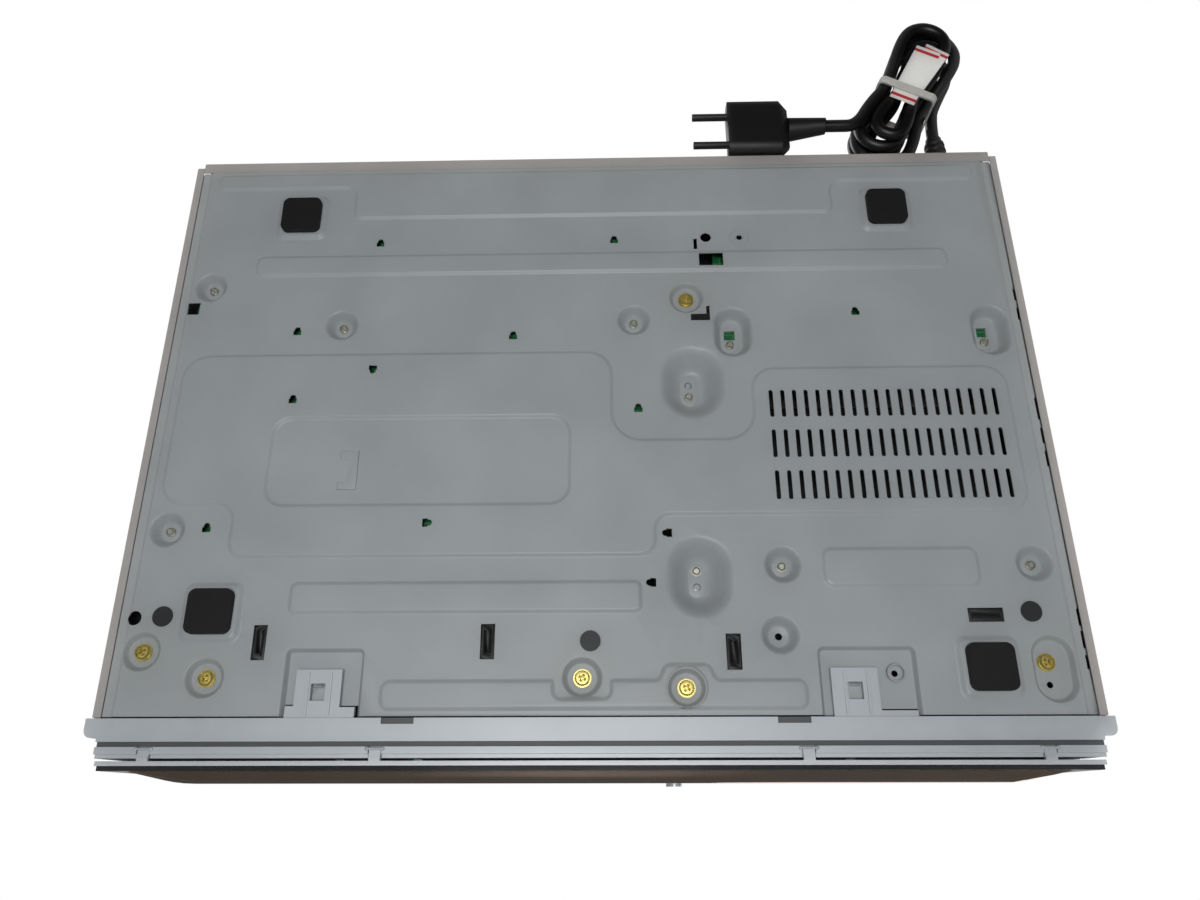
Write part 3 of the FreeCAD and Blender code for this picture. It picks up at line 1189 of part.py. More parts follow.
def cassette_flap():
    """The tape door; it hangs from its pins and swings inwards."""
    low_x = f"({DECK_X} - flap_width / 2)"
    plate = box(low_x, f"{FASCIA_FACE} + 0.4", f"{FLAP_PIVOT_Z} - flap_rise + 1", "flap_width", "flap_thick",
                "flap_rise")
    arm = box(f"{low_x} + 8", f"{FASCIA_FACE} + 1", f"{FLAP_PIVOT_Z} - 1.6", "flap_width - 16",
              f"{FLAP_PIVOT_Y} - {FASCIA_FACE} - 1", 2.6)
    barrel = rod(f"{low_x} + 8", FLAP_PIVOT_Y, FLAP_PIVOT_Z, "flap_pin + 0.9", "flap_width - 16", "+X")
    pins = rod(f"{low_x} - 4.5", FLAP_PIVOT_Y, FLAP_PIVOT_Z, "flap_pin", "flap_width + 9", "+X")
    room = box(f"{low_x} + 1.5", f"{FASCIA_FACE} + 0.7", f"{FLAP_PIVOT_Z} - 4", 6.5, 8, 12)
    return keep(join(cut(join(plate, arm, barrel), room), pins), "cassette_flap")


def flap_spring():
    """The closing spring, wound round the flap's left pin."""
    wire = 0.4
    turns = 4
    pitch = 1.1
    radius = size("flap_pin") + wire + 0.35
    helix = Part.makeHelix(pitch, turns * pitch, radius)
    profile = Part.Wire(Part.Circle(V(radius, 0, 0), V(0, 1, 0), wire).toShape())
    coil = Part.Wire(helix).makePipeShell([profile], True, True)
    made = doc.addObject("Part::Feature", "Spring")
    made.Shape = coil
    start = V(number(f"{DECK_X} - flap_width / 2 + 2.3"), number(FLAP_PIVOT_Y), number(FLAP_PIVOT_Z))
    made.Placement = FreeCAD.Placement(start, TURNS["+X"])
    return keep(made, "flap_spring")


# Electronics

MAIN_LEFT = "-28"


def board_holes(places):
    return [rod(near(x), deep(y), PAN, "screw_radius + 0.1", 20) for x, y in places]


def main_board():
    plate = box(MAIN_LEFT, f"{FRONT} + 76", BOARD_LEVEL, f"{HALF} - 11 - {MAIN_LEFT}", f"{REAR} - {FRONT} - 77",
                "board_thick")
    return keep(cut(plate, *board_holes(BOARD_SCREWS)), "main_board")


def board_chips():
    spots = [(40, 105, 20, 20), (92, 130, 28, 28), (150, 110, 14, 22), (10, 130, 12, 18), (60, 170, 16, 10),
             (10, 215, 22, 22), (70, 235, 18, 12), (115, 240, 20, 14)]
    made = [box(x, f"{FRONT} + {y}", BOARD_TOP, wide, long, 2.2) for x, y, wide, long in spots]
    return keep(group(*made), "board_chips")


def power_board():
    plate = box(f"{LEFT} + 10", f"{REAR} - 117", POWER_LEVEL, 143, 112, "board_thick")
    return keep(cut(plate, *board_holes(POWER_SCREWS)), "power_board")


def power_transformer():
    core = box(f"{LEFT} + 85", f"{REAR} - 90", POWER_TOP, 34, 30, 26)
    coil = round_edges(box(f"{LEFT} + 89", f"{REAR} - 97", f"{POWER_TOP} + 4", 26, 44, 18), 4, forward)
    return keep(join(core, coil), "power_transformer")


def capacitors():
    spots = [(35, 60, 9, 30), (35, 88, 5, 20), (60, 92, 5, 18), (128, 62, 5, 20), (128, 76, 5, 20), (142, 68, 4, 14)]
    made = [rod(f"{LEFT} + {x}", f"{REAR} - {y}", POWER_TOP, radius, tall) for x, y, radius, tall in spots]
    made += [rod(x, f"{REAR} - {y}", BOARD_TOP, 4, 11) for x, y in ((142, 30), (142, 42), (-18, 55), (-18, 68))]
    return keep(group(*made), "capacitors")


def heatsink():
    """The finned plate that cools the supply's switch."""
    back = box(f"{LEFT} + 20", f"{REAR} - 34", POWER_TOP, 70, 3, 34)
    fins = [box(f"{LEFT} + {20 + 8 * index}", f"{REAR} - 31.5", POWER_TOP, 1.6, 14, 34) for index in range(9)]
    return keep(join(back, *fins), "heatsink")


PANEL_BACK = f"({REAR_FACE} - sheet_steel - 0.2)"


def tuner():
    """The screened tuner box with its two aerial sockets through the rear panel."""
    can = box(150, f"{PANEL_BACK} - 60", BOARD_TOP, 30, 60, 40)
    pieces = []
    bores = []
    for x, z in AERIALS:
        pieces.append(rod(x, f"{PANEL_BACK} - 1", z, 5.6, f"{REAR} + rear_reach - {PANEL_BACK} + 1", "+Y"))
        bores.append(rod(x, f"{REAR} + rear_reach - 8", z, 4.3, 9, "+Y"))
    pins = [rod(x, f"{REAR} + rear_reach - 9", z, 1, 6, "+Y") for x, z in AERIALS]
    return keep(join(cut(join(can, *pieces), *bores), *pins), "tuner")


def scart_sockets():
    made = []
    for x, z in SCARTS:
        body = box(x - 24, f"{PANEL_BACK} - 16", BOARD_TOP, 48, 16, f"{z} + 8 - {BOARD_TOP}")
        snout = box(x - 23.5, f"{PANEL_BACK} - 1", z - 7.5, 47, f"{REAR_FACE} - {PANEL_BACK} + 4", 15)
        hollow = box(x - 21.5, f"{REAR_FACE} - 8", z - 5.5, 43, 14, 11)
        tongue = box(x - 18, f"{REAR_FACE} - 9", z - 0.5, 36, 7, 1)
        made.append(join(cut(join(body, snout), hollow), tongue))
    return keep(group(*made), "scart_sockets")


def rear_jacks():
    """The rear socket block on its own small bracket beside the main board."""
    block = box(-55, f"{PANEL_BACK} - 12", BOARD_TOP, 58, 12, f"50 - {BOARD_TOP}")
    foot = box(-26, f"{PANEL_BACK} - 12", BOARD_TOP, 29, 12, 4)
    barrels = [rod(x, f"{PANEL_BACK} - 1", z, 4.2, f"{REAR} + rear_reach - {PANEL_BACK} - 1", "+Y")
               for x, z in REAR_JACKS]
    bores = [rod(x, f"{REAR_FACE} - 2", z, 1.6, 14, "+Y") for x, z in REAR_JACKS]
    return keep(cut(join(block, foot, *barrels), *bores), "rear_jacks")


# Mains lead

RELIEF_END = f"({REAR_FACE} + 26)"


def strain_relief():
    """The bush in the rear panel: inner and outer collars and the ribbed taper that the lead leaves."""
    neck = rod("lead_exit", f"{REAR_FACE} - sheet_steel - 0.1", LEAD_LEVEL, 6.4, "sheet_steel + 0.2", "+Y")
    outer = rod("lead_exit", REAR_FACE, LEAD_LEVEL, 8.6, 2.4, "+Y")
    inner = rod("lead_exit", f"{REAR_FACE} - sheet_steel - 2.1", LEAD_LEVEL, 7.6, 2, "+Y")
    taper = cone("lead_exit", f"{REAR_FACE} + 2", LEAD_LEVEL, 6, "lead_width / 2 + 0.9", 24, "+Y")
    rings = [cone("lead_exit", f"{REAR_FACE} + {5 + 4 * index}", LEAD_LEVEL, 6.7 - 0.3 * index, 6.4 - 0.3 * index,
                  1.8, "+Y") for index in range(5)]
    return keep(join(neck, outer, inner, taper, *rings), "strain_relief")


HANK_TURN = math.radians(118.5)
HANK_ALONG = V(math.cos(HANK_TURN), math.sin(HANK_TURN), 0)
HANK_ACROSS = V(math.sin(HANK_TURN), -math.cos(HANK_TURN), 0)
# The runs in winding order: column across the hank (negative on the lead's side), layer at its
# start, layer at its end. Odd ones come back towards the panel.
HANK_RUNS = [(2, 3, 3), (-1, 3, 3), (1, 3, 2), (-1, 2, 2), (2, 2, 2), (-2, 2, 1), (2, 1, 1), (-1, 1, 1), (1, 1, 0),
             (-1, 0, 0), (2, 0, 0)]


def hank_near():
    """The middle of the turns nearest the rear panel, at floor level."""
    clear = size("hank_inner") + size("hank_step") + size("lead_width") / 2 + 2
    return V(size("lead_exit") + 30.4, number(REAR_FACE) + clear, 0)


def hank_point(along, column, layer):
    """A point on the lead's centre line: column 1 or 2 steps out on either side of the middle."""
    side = (size("hank_inner") + (abs(column) - 1) * size("hank_step")) * (1 if column > 0 else -1)
    level = size("hank_lift") + size("lead_width") / 2 + layer * size("hank_layer")
    drawn = size("hank_draw") if abs(along - size("hank_waist")) < 1e-6 else 0
    side -= drawn * (1 if side > 0 else -1)
    return hank_near() + HANK_ALONG * along + HANK_ACROSS * side + V(0, 0, level)


def easy_curve(start, end, way):
    """Two equal arcs that leave start and reach end in the same direction."""
    chord = end - start
    along = way * chord.dot(way)
    across = chord - along
    if across.Length < 1e-6:
        return [Part.LineSegment(start, end).toShape()]
    middle = (start + end) / 2
    radius = chord.Length ** 2 / (4 * across.Length)
    unit = V(across.x, across.y, across.z).normalize()
    half_angle = math.asin(min(1, along.Length / 2 / radius)) / 2
    first = start + unit * (radius * (1 - math.cos(half_angle))) + way * (radius * math.sin(half_angle))
    second = end - unit * (radius * (1 - math.cos(half_angle))) - way * (radius * math.sin(half_angle))
    return [Part.Arc(start, first, middle).toShape(), Part.Arc(middle, second, end).toShape()]


def half_turn(start, end, way):
    """The half circle that leaves start along way and ends at end, as two quarter arcs."""
    middle = (start + end) / 2
    radius = (end - start).Length / 2
    top = middle + way * radius
    to_start = (start - middle).normalize()
    first = middle + (to_start + way).normalize() * radius
    second = middle + (way - to_start).normalize() * radius
    return [Part.Arc(start, first, top).toShape(), Part.Arc(top, second, end).toShape()]


def hank_edges():
    run = size("hank_run")
    waist = size("hank_waist")
    edges = half_turn(hank_point(run, -2, 3), hank_point(run, 2, 3), HANK_ALONG)
    for index, (column, first, last) in enumerate(HANK_RUNS):
        inward = index % 2 == 0
        way = HANK_ALONG * (-1 if inward else 1)
        near_layer, far_layer = (last, first) if inward else (first, last)
        far_end = hank_point(run, column, far_layer)
        drawn = hank_point(waist, column, near_layer)
        near_end = hank_point(0, column, near_layer)
        stops = [far_end, drawn, near_end] if inward else [near_end, drawn, far_end]
        edges += easy_curve(stops[0], stops[1], way)
        edges += easy_curve(stops[1], stops[2], way)
        if index + 1 < len(HANK_RUNS):
            following = HANK_RUNS[index + 1][0]
            stop = 0 if inward else run
            edges += half_turn(stops[2], hank_point(stop, following, last), way)
    return edges


PLUG_TURN = 18


def plug_start():
    """Where the lead enters the plug's sleeve, heading along +X."""
    end = hank_point(0, 2, 0)
    centre = end + HANK_ACROSS * PLUG_TURN
    return V(centre.x, centre.y - PLUG_TURN, end.z)


def tail_edges():
    """The last stretch: from the hank's lowest run round to the plug."""
    start = hank_point(0, 2, 0)
    centre = start + HANK_ACROSS * PLUG_TURN
    end = plug_start()
    middle = centre + ((start - centre).normalize() + (end - centre).normalize()).normalize() * PLUG_TURN
    straight = V(end.x + size("lead_width"), end.y, end.z)
    return [Part.Arc(start, middle, end).toShape(), Part.LineSegment(end, straight).toShape()]


def tube(edges, radius):
    """A round tube along tangent lines and arcs."""
    path = Part.Wire(edges)
    first = path.Edges[0]
    start = first.valueAt(first.FirstParameter)
    way = first.tangentAt(first.FirstParameter)
    if (start - edges[0].valueAt(edges[0].FirstParameter)).Length > 1e-6:
        way = way * -1
    profile = Part.Wire(Part.Circle(start, way, radius).toShape())
    return path, path.makePipeShell([profile], True, False)


def least_gap(path, width):
    """The least clear distance between stretches of the tube that are not neighbours."""
    points = path.discretize(Distance=1.5)
    skip = int(2.2 * width / 1.5) + 1
    nearest = 1e9
    for i, a in enumerate(points):
        for b in points[i + skip:]:
            nearest = min(nearest, (a - b).Length)
    return nearest - width


def lead_hank():
    """The tied hank: loops that spiral in and out in four layers, drawn in at the tie."""
    width = size("lead_width")
    path, solid = tube(hank_edges() + tail_edges(), width / 2)
    print(f"hank: length {path.Length:.0f} mm, least gap {least_gap(path, width):.2f} mm")
    made = doc.addObject("Part::Feature", "Hank")
    made.Shape = solid
    return keep(made, "lead_hank")


def lead_route():
    """The free stretch from the strain relief to the top of the hank, as hand-set corners."""
    start = V(size("lead_exit"), number(RELIEF_END), number(LEAD_LEVEL))
    end = hank_point(size("hank_run"), -2, 3)
    back = (end.x - start.x) / HANK_ALONG.x
    corner = end - HANK_ALONG * back
    return [start, corner, end]


def route_edges(points):
    """Straight runs with the largest tangent arcs that their corners allow."""
    edges = []
    last = points[0]
    for before, here, after in zip(points, points[1:], points[2:]):
        a = (before - here).normalize()
        b = (after - here).normalize()
        half = (math.pi - a.getAngle(b)) / 2
        tangent = 0.45 * min((before - here).Length, (after - here).Length)
        radius = tangent / math.tan(half)
        print(f"lead: bend radius {radius:.0f} mm")
        start = here + a * tangent
        end = here + b * tangent
        middle = here + (a + b).normalize() * (radius / math.cos(half) - radius)
        edges.append(Part.LineSegment(last, start).toShape())
        edges.append(Part.Arc(start, middle, end).toShape())
        last = end
    edges.append(Part.LineSegment(last, points[-1]).toShape())
    return edges


def mains_lead():
    radius = size("lead_width") / 2
    path, solid = tube(route_edges(lead_route()), radius)
    print(f"lead: length {path.Length:.0f} mm, volume {solid.Volume:.0f} "
          f"against {math.pi * radius ** 2 * path.Length:.0f}")
    made = doc.addObject("Part::Feature", "Lead")
    made.Shape = solid
    return keep(made, "mains_lead")


def turned_to_hank(shape, along, level):
    """A shape made about the origin, with X across the hank and Y along it, put at its place."""
    shape.rotate(V(), V(0, 0, 1), math.degrees(HANK_TURN) - 90)
    shape.translate(hank_near() + HANK_ALONG * along + V(0, 0, level))
    return shape


def cable_tie():
    """The clear strap round the waist, with its locking head on top."""
    width = size("lead_width")
    half = size("hank_inner") + size("hank_step") - size("hank_draw") + width / 2 + 0.4
    low = size("hank_lift") - 0.4
    tall = 3 * size("hank_layer") + width + 0.8
    strap = 1
    band = 4.8
    outer = Part.makeBox(2 * half + 2 * strap, band, tall + 2 * strap, V(-half - strap, -band / 2, -strap))
    outer = outer.makeFillet(3.4, [edge for edge in outer.Edges if forward(edge)])
    inner = Part.makeBox(2 * half, band + 2, tall, V(-half, -band / 2 - 1, 0))
    inner = inner.makeFillet(2.4, [edge for edge in inner.Edges if forward(edge)])
    head = Part.makeBox(7, 6, 5, V(2, -3, tall + strap - 0.5))
    tail = Part.makeBox(14, 4, 1, V(-12, -2, tall + strap + 1.6))
    made = doc.addObject("Part::Feature", "Tie")
    made.Shape = turned_to_hank(outer.cut(inner).fuse([head, tail]), size("hank_waist"), low)
    return keep(made, "cable_tie")


def lead_tag():
    """The paper tag that lies under the loops."""
    paper = 0.25
    plate = Part.makeBox(17, 34, paper, V(-8.5, 0, 0))
    made = doc.addObject("Part::Feature", "Tag")
    made.Shape = turned_to_hank(plate, size("hank_waist") + 4, size("hank_lift") - 0.35 - paper)
    return keep(made, "lead_tag")


def mains_plug():
    """A moulded two-pin plug: flat body, drawn-in sleeve and two round pins."""
    start = plug_start()
    radius = size("lead_width") / 2
    x = start.x + size("lead_width")
    sleeve = 20
    body = 33
    level = 7.5
    half_wide = 17.5
    mouth = Part.Wire(Part.Circle(V(x, start.y, start.z), V(1, 0, 0), radius + 1.1).toShape())
    waist = Part.Wire(Part.Circle(V(x + sleeve, start.y, level), V(1, 0, 0), 6.4).toShape())
    neck = Part.makeLoft([mouth, waist], True, True)
    block = Part.makeBox(body, 2 * half_wide, 13, V(x + sleeve - 0.5, start.y - half_wide, 1))
    block = block.makeFillet(5.5, [edge for edge in block.Edges if edge.BoundBox.XLength > body - 1])
    block = block.makeChamfer(5, [edge for edge in block.Edges
                                  if edge.BoundBox.XLength < 0.01 and edge.CenterOfMass.x < x + sleeve
                                  and edge.BoundBox.ZLength > 1 and edge.BoundBox.YLength < 0.01])
    plug = block.fuse(neck)
    for hand in (-1, 1):
        pin = Part.makeCylinder(2, 19.5, V(x + sleeve + body - 1, start.y + hand * 9.5, level), V(1, 0, 0))
        plug = plug.fuse(pin)
    made = doc.addObject("Part::Feature", "Plug")
    made.Shape = plug
    return keep(made, "mains_plug")


CASE = [bottom_chassis, top_cover, rear_panel, feet, case_screws, board_screws, hole_plugs, board_clips]
FACE = [front_bezel, fascia, display_window, control_lip, av_flap, front_jacks, front_board, display_tube, buttons,
        joystick]
DRIVE = [drive_frame, drive_lid, disc_clamper, disc_tray, tray_front, tray_gear, spindle_motor, disc_spindle,
         pickup_sled, pickup_rails]
DECK = [deck_frame, drum_base, head_drum, capstan, pinch_roller, tape_guides, tape_carriage, cassette_flap,
        flap_spring]
BOARDS = [main_board, board_chips, power_board, power_transformer, capacitors, heatsink, tuner, scart_sockets,
          rear_jacks]
LEAD = [strain_relief, mains_lead, lead_hank, cable_tie, lead_tag, mains_plug]

for build in CASE + FACE + DRIVE + DECK + BOARDS + LEAD:
    build()
for name, place_across in REELS.items():
    reel(name, place_across)
doc.recompute()

for obj in doc.Objects:
    if "Invalid" in obj.State or "Error" in obj.State:
        raise RuntimeError(f"{obj.Label} did not build: {obj.State}")
for name, obj in nodes.items():
    if obj.Shape.isNull() or not obj.Shape.isValid():
        raise RuntimeError(f"{name} has no valid shape")
for name, obj in nodes.items():
    obj.Shape.exportStep(f"parts/{name}.step")
print(f"{len(nodes)} pieces")
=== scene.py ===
# %% [markdown]
# # A disc and tape recorder, seen from below
# The recorder stands on four rubber feet, and we look up at it through the floor: a pressed steel
# pan full of beads, wells and slots, a silver front and a tied mains lead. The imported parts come
# in first, and each later cell dresses one of them or adds a finer piece.

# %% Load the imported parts
import json
import math
import bmesh
import bpy
from mathutils import Matrix, Vector

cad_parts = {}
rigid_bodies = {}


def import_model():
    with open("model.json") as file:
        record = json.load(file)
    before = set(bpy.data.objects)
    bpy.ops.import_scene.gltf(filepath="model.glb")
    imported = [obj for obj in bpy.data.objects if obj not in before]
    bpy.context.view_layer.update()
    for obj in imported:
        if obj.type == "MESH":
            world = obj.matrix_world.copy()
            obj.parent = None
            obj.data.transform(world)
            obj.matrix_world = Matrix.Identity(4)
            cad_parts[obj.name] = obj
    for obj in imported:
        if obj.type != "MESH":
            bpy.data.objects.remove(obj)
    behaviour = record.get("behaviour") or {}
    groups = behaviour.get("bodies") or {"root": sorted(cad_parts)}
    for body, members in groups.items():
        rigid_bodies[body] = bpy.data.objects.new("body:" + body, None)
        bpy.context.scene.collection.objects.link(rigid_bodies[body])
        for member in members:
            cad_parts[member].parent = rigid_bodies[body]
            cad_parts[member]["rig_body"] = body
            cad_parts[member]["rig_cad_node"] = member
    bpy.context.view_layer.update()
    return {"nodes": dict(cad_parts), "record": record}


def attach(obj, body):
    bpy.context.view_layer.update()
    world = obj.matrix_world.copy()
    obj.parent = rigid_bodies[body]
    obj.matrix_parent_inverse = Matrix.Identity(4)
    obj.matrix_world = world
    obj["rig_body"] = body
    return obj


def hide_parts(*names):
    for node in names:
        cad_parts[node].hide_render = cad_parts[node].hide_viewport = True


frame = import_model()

nodes = frame["nodes"]
bpy.ops.object.select_all(action="DESELECT")

# %% [markdown]
# Lengths are easiest to think of in millimetres, and Blender wants metres. Colours are picked as
# sRGB hex values, and shaders want linear light, so two short functions do those changes.

# %% Millimetres and colours
def mm(*values):
    """Millimetres as metres: one number, or a vector of several."""
    return values[0] / 1000 if len(values) == 1 else Vector(values) / 1000


def colour(code):
    """A hex sRGB colour as linear RGBA."""
    parts = [int(code[i:i + 2], 16) / 255 for i in (1, 3, 5)]
    return [c / 12.92 if c <= 0.04045 else ((c + 0.055) / 1.055) ** 2.4 for c in parts] + [1]


print("mid grey is", [round(c, 3) for c in colour("#808080")])

# %% [markdown]
# A few places come back in several cells. The front edge of the pan and the face of the rear
# panel are places along Y, and the pan's flat face and the floors of its wells are heights. A pad
# stands proud of a floor by less than half a millimetre.

# %% Shared measures in millimetres
FRONT = -136.9
REAR_FACE = 154.1
PAN_FACE = 4.6
SCREW_FLOOR = 7.6
BOARD_FLOOR = 9.6
POWER_FLOOR = 11.1
DRIVE_FLOOR = 14.6
PAD = 0.4
SMOOTH_ANGLE = math.radians(38)
print("the wells are up to", round(DRIVE_FLOOR - PAN_FACE, 1), "mm deep")

# %% [markdown]
# The camera stands below the recorder and a little in front, looking up at the pan. Its place
# follows from the outline of the case, so it is written as a matrix: right, up, and backwards.

# %% Camera
right = Vector((-0.99973, -0.00054, 0.02330))
up = Vector((-0.00903, 0.93054, -0.36609))
back = Vector((-0.02148, -0.36620, -0.93029))
spot = mm(-7.367, -171.92, -392.07)
lens_data = bpy.data.cameras.new("view")
lens_data.sensor_width = 36
lens_data.lens = 27.114
lens_data.shift_x = 0.0084
lens_data.shift_y = 0.0005
camera = bpy.data.objects.new("view", lens_data)
bpy.context.collection.objects.link(camera)
camera.matrix_world = Matrix([[right[i], up[i], back[i], spot[i]] for i in range(3)] + [[0, 0, 0, 1]])
lens_data.clip_start = 0.01
bpy.context.scene.camera = camera
bpy.context.scene.view_settings.view_transform = "Standard"
print("camera at", [round(v, 3) for v in spot])

# %% [markdown]
# A shader is a small network. This one function adds a node with its settings and joins whatever
# sockets are handed to it, so that the cells below read as recipes.

# %% Adding a node
def add(net, kind, inputs=None, **settings):
    """A shader node with its settings; inputs hold values or other nodes' output sockets."""
    node = net.nodes.new("ShaderNode" + kind)
    for name, value in settings.items():
        setattr(node, name, value)
    for key, value in (inputs or {}).items():
        if isinstance(value, bpy.types.NodeSocket):
            net.links.new(value, node.inputs[key])
        else:
            node.inputs[key].default_value = value
    return node


def new_material(name):
    """An empty material, its network and its output node."""
    made = bpy.data.materials.new(name)
    made.use_nodes = True
    made.node_tree.nodes.clear()
    return made, made.node_tree, add(made.node_tree, "OutputMaterial")


print("nodes ready")

# %% [markdown]
# The studio: a pale floor and soft lamps. Because the view comes from under the floor, its
# material is one-sided. From above it is a plain matt floor, and from below it lets the view and
# the lamps through.

# %% Floor
bpy.ops.mesh.primitive_plane_add(size=8, location=(0, 0, 0))
floor = bpy.context.object
floor.name = "studio_floor"
paper, net, out = new_material("matt_paper_floor")
matt = add(net, "BsdfDiffuse", {"Color": colour("#eeeeec")})
clear = add(net, "BsdfTransparent")
side = add(net, "NewGeometry")
ray = add(net, "LightPath")
below = add(net, "Math", {0: side.outputs["Backfacing"], 1: ray.outputs["Is Shadow Ray"]},
            operation="MAXIMUM")
one_way = add(net, "MixShader", {0: below.outputs[0], 1: matt.outputs[0], 2: clear.outputs[0]})
net.links.new(one_way.outputs[0], out.inputs["Surface"])
floor.data.materials.append(paper)
bpy.ops.object.select_all(action="DESELECT")
print("floor ready")

# %% [markdown]
# Light: a dim even sky for the whole room, two large soft lamps above and three below. Straight
# under the pan hangs the main one, so flat sheet is bright and every pressed wall falls darker. A
# cool fill comes from the front and a warm one from the rear, and they tint the two sides of each
# well. Straight to the camera the sky reads white, and metal sees a paler room than it is lit by.

# %% Sky and lamps
world = bpy.data.worlds.new("room")
bpy.context.scene.world = world
world.use_nodes = True
sky = world.node_tree
sky.nodes.clear()
seen = add(sky, "LightPath")
gloss = add(sky, "Math", {0: seen.outputs["Is Glossy Ray"], 1: 0.30}, operation="MULTIPLY")
level = add(sky, "Math", {0: gloss.outputs[0], 1: 0.11}, operation="MAXIMUM")
seen_level = add(sky, "Math", {0: seen.outputs["Is Camera Ray"], 1: level.outputs[0]}, operation="MAXIMUM")
glow = add(sky, "Background", {"Color": (1, 1, 1, 1), "Strength": seen_level.outputs[0]})
add(sky, "OutputWorld", {"Surface": glow.outputs[0]})


def lamp(name, place, aim, size, power, tint=(1, 1, 1)):
    """A square soft lamp at a place, turned to a point."""
    bpy.ops.object.light_add(type="AREA", location=place)
    made = bpy.context.object
    made.name = name
    made.data.size = size
    made.data.energy = power
    made.data.color = tint
    made.rotation_mode = "QUATERNION"
    made.rotation_quaternion = (Vector(aim) - Vector(place)).to_track_quat("-Z", "Y")
    return made


lamp("lamp_above", (-0.8, -1.2, 1.6), (0, 0, 0.05), 1.4, 24)
lamp("lamp_behind", (1.0, 1.1, 1.2), (0, 0, 0.05), 1.2, 12)
lamp("lamp_under", (0.05, -0.3, -1.3), (0, -0.06, 0), 0.45, 8)
lamp("fill_front", (-0.5, -1.3, -0.7), (0, 0, 0), 0.8, 0.9, (0.75, 0.88, 1))
lamp("fill_rear", (0.6, 1.3, -0.8), (0, 0, 0), 0.8, 1.0, (1, 0.84, 0.7))
bpy.ops.object.select_all(action="DESELECT")
print("five lamps")

# %% [markdown]
# The metals and plastics come in families. Pressed steel with a baked coat is a satin surface with
# a fine orange-peel, faint cloudiness from the coil it was cut from, and a few rubs. The recipe
# keeps those three patterns at their real sizes: grit under a millimetre, clouds of some
# centimetres, and rubs as stretched streaks.

# %% Coated steel
def coated_steel(name, code, rough, metal=0.0, rub=0.05):
    """Sheet steel with a baked or rolled-on coat."""
    made, net, out = new_material(name)
    where = add(net, "TexCoord")
    clouds = add(net, "TexNoise", {"Vector": where.outputs["Object"], "Scale": 1 / mm(45), "Detail": 3})
    long = add(net, "Mapping", {"Vector": where.outputs["Object"], "Scale": (1, 9, 1),
                                "Rotation": (0, 0, 0.35)})
    streaks = add(net, "TexNoise", {"Vector": long.outputs[0], "Scale": 1 / mm(22), "Detail": 8,
                                    "Roughness": 0.75})
    rubs = add(net, "MapRange", {"Value": streaks.outputs["Fac"], "From Min": 0.66, "From Max": 0.78})
    grit = add(net, "TexNoise", {"Vector": where.outputs["Object"], "Scale": 1 / mm(0.7), "Detail": 2})
    base = Vector(colour(code)[:3])
    tones = add(net, "ValToRGB", {"Fac": clouds.outputs["Fac"]})
    tones.color_ramp.elements[0].position = 0.3
    tones.color_ramp.elements[1].position = 0.7
    tones.color_ramp.elements[0].color = (*(base * 0.95), 1)
    tones.color_ramp.elements[1].color = (*(base * 1.05), 1)
    worn = add(net, "Math", {0: rubs.outputs[0], 1: rub}, operation="MULTIPLY")
    paint = add(net, "Mix", {0: worn.outputs[0], 6: tones.outputs["Color"], 7: (0.75, 0.77, 0.78, 1)},
                data_type="RGBA")
    dull = add(net, "MapRange", {"Value": clouds.outputs["Fac"], "To Min": rough - 0.05,
                                 "To Max": rough + 0.06})
    peel = add(net, "Bump", {"Height": grit.outputs["Fac"], "Strength": 0.12, "Distance": mm(0.12)})
    shine = add(net, "BsdfPrincipled", {"Base Color": paint.outputs[2], "Roughness": dull.outputs[0],
                                        "Normal": peel.outputs[0], "Metallic": metal})
    net.links.new(shine.outputs[0], out.inputs["Surface"])
    return made


finishes = {
    # Grey precoated steel: a cool grey satin skin over the pressings
    "pan_steel": coated_steel("precoated_grey_steel", "#a7abad", 0.42),
    # Powder-coated cover: a warmer grey, and drier
    "cover_paint": coated_steel("powder_coated_steel", "#a9a5a3", 0.55, rub=0.02),
    # Plain zinc-plated steel inside the case
    "sheet_zinc": coated_steel("zinc_plated_steel", "#a9abaa", 0.38, 0.85, 0.12),
}
print(len(finishes), "coated steels")

# %% [markdown]
# Moulded plastic takes the spark-eroded grain of its mould, a matt pebble finer than half a
# millimetre. Painted silver ABS adds glitter: metal flake in the lacquer, which reads as many
# tiny facets that each catch the lamp a little differently.

# %% Moulded plastics
def moulded(name, code, rough, pebble=0.45, depth=0.05, coat=0.0, flake=0.0):
    """A moulded plastic: mould grain, slight colour drift, and metal flake where it is lacquered."""
    made, net, out = new_material(name)
    where = add(net, "TexCoord")
    base = Vector(colour(code)[:3])
    drift = add(net, "TexNoise", {"Vector": where.outputs["Object"], "Scale": 1 / mm(18), "Detail": 2})
    tones = add(net, "ValToRGB", {"Fac": drift.outputs["Fac"]})
    tones.color_ramp.elements[0].color = (*(base * 0.93), 1)
    tones.color_ramp.elements[1].color = (*(base * 1.07), 1)
    pebbles = add(net, "TexVoronoi", {"Vector": where.outputs["Object"], "Scale": 1 / mm(pebble)})
    grain = add(net, "Bump", {"Height": pebbles.outputs["Distance"], "Strength": 0.5, "Distance": mm(depth)})
    shine = add(net, "BsdfPrincipled", {"Base Color": tones.outputs["Color"], "Normal": grain.outputs[0],
                                        "Metallic": flake, "Coat Weight": coat, "Coat Roughness": 0.12})
    handled = add(net, "MapRange", {"Value": drift.outputs["Fac"], "To Min": rough - 0.06,
                                    "To Max": rough + 0.06})
    net.links.new(handled.outputs[0], shine.inputs["Roughness"])
    net.links.new(shine.outputs[0], out.inputs["Surface"])
    return made


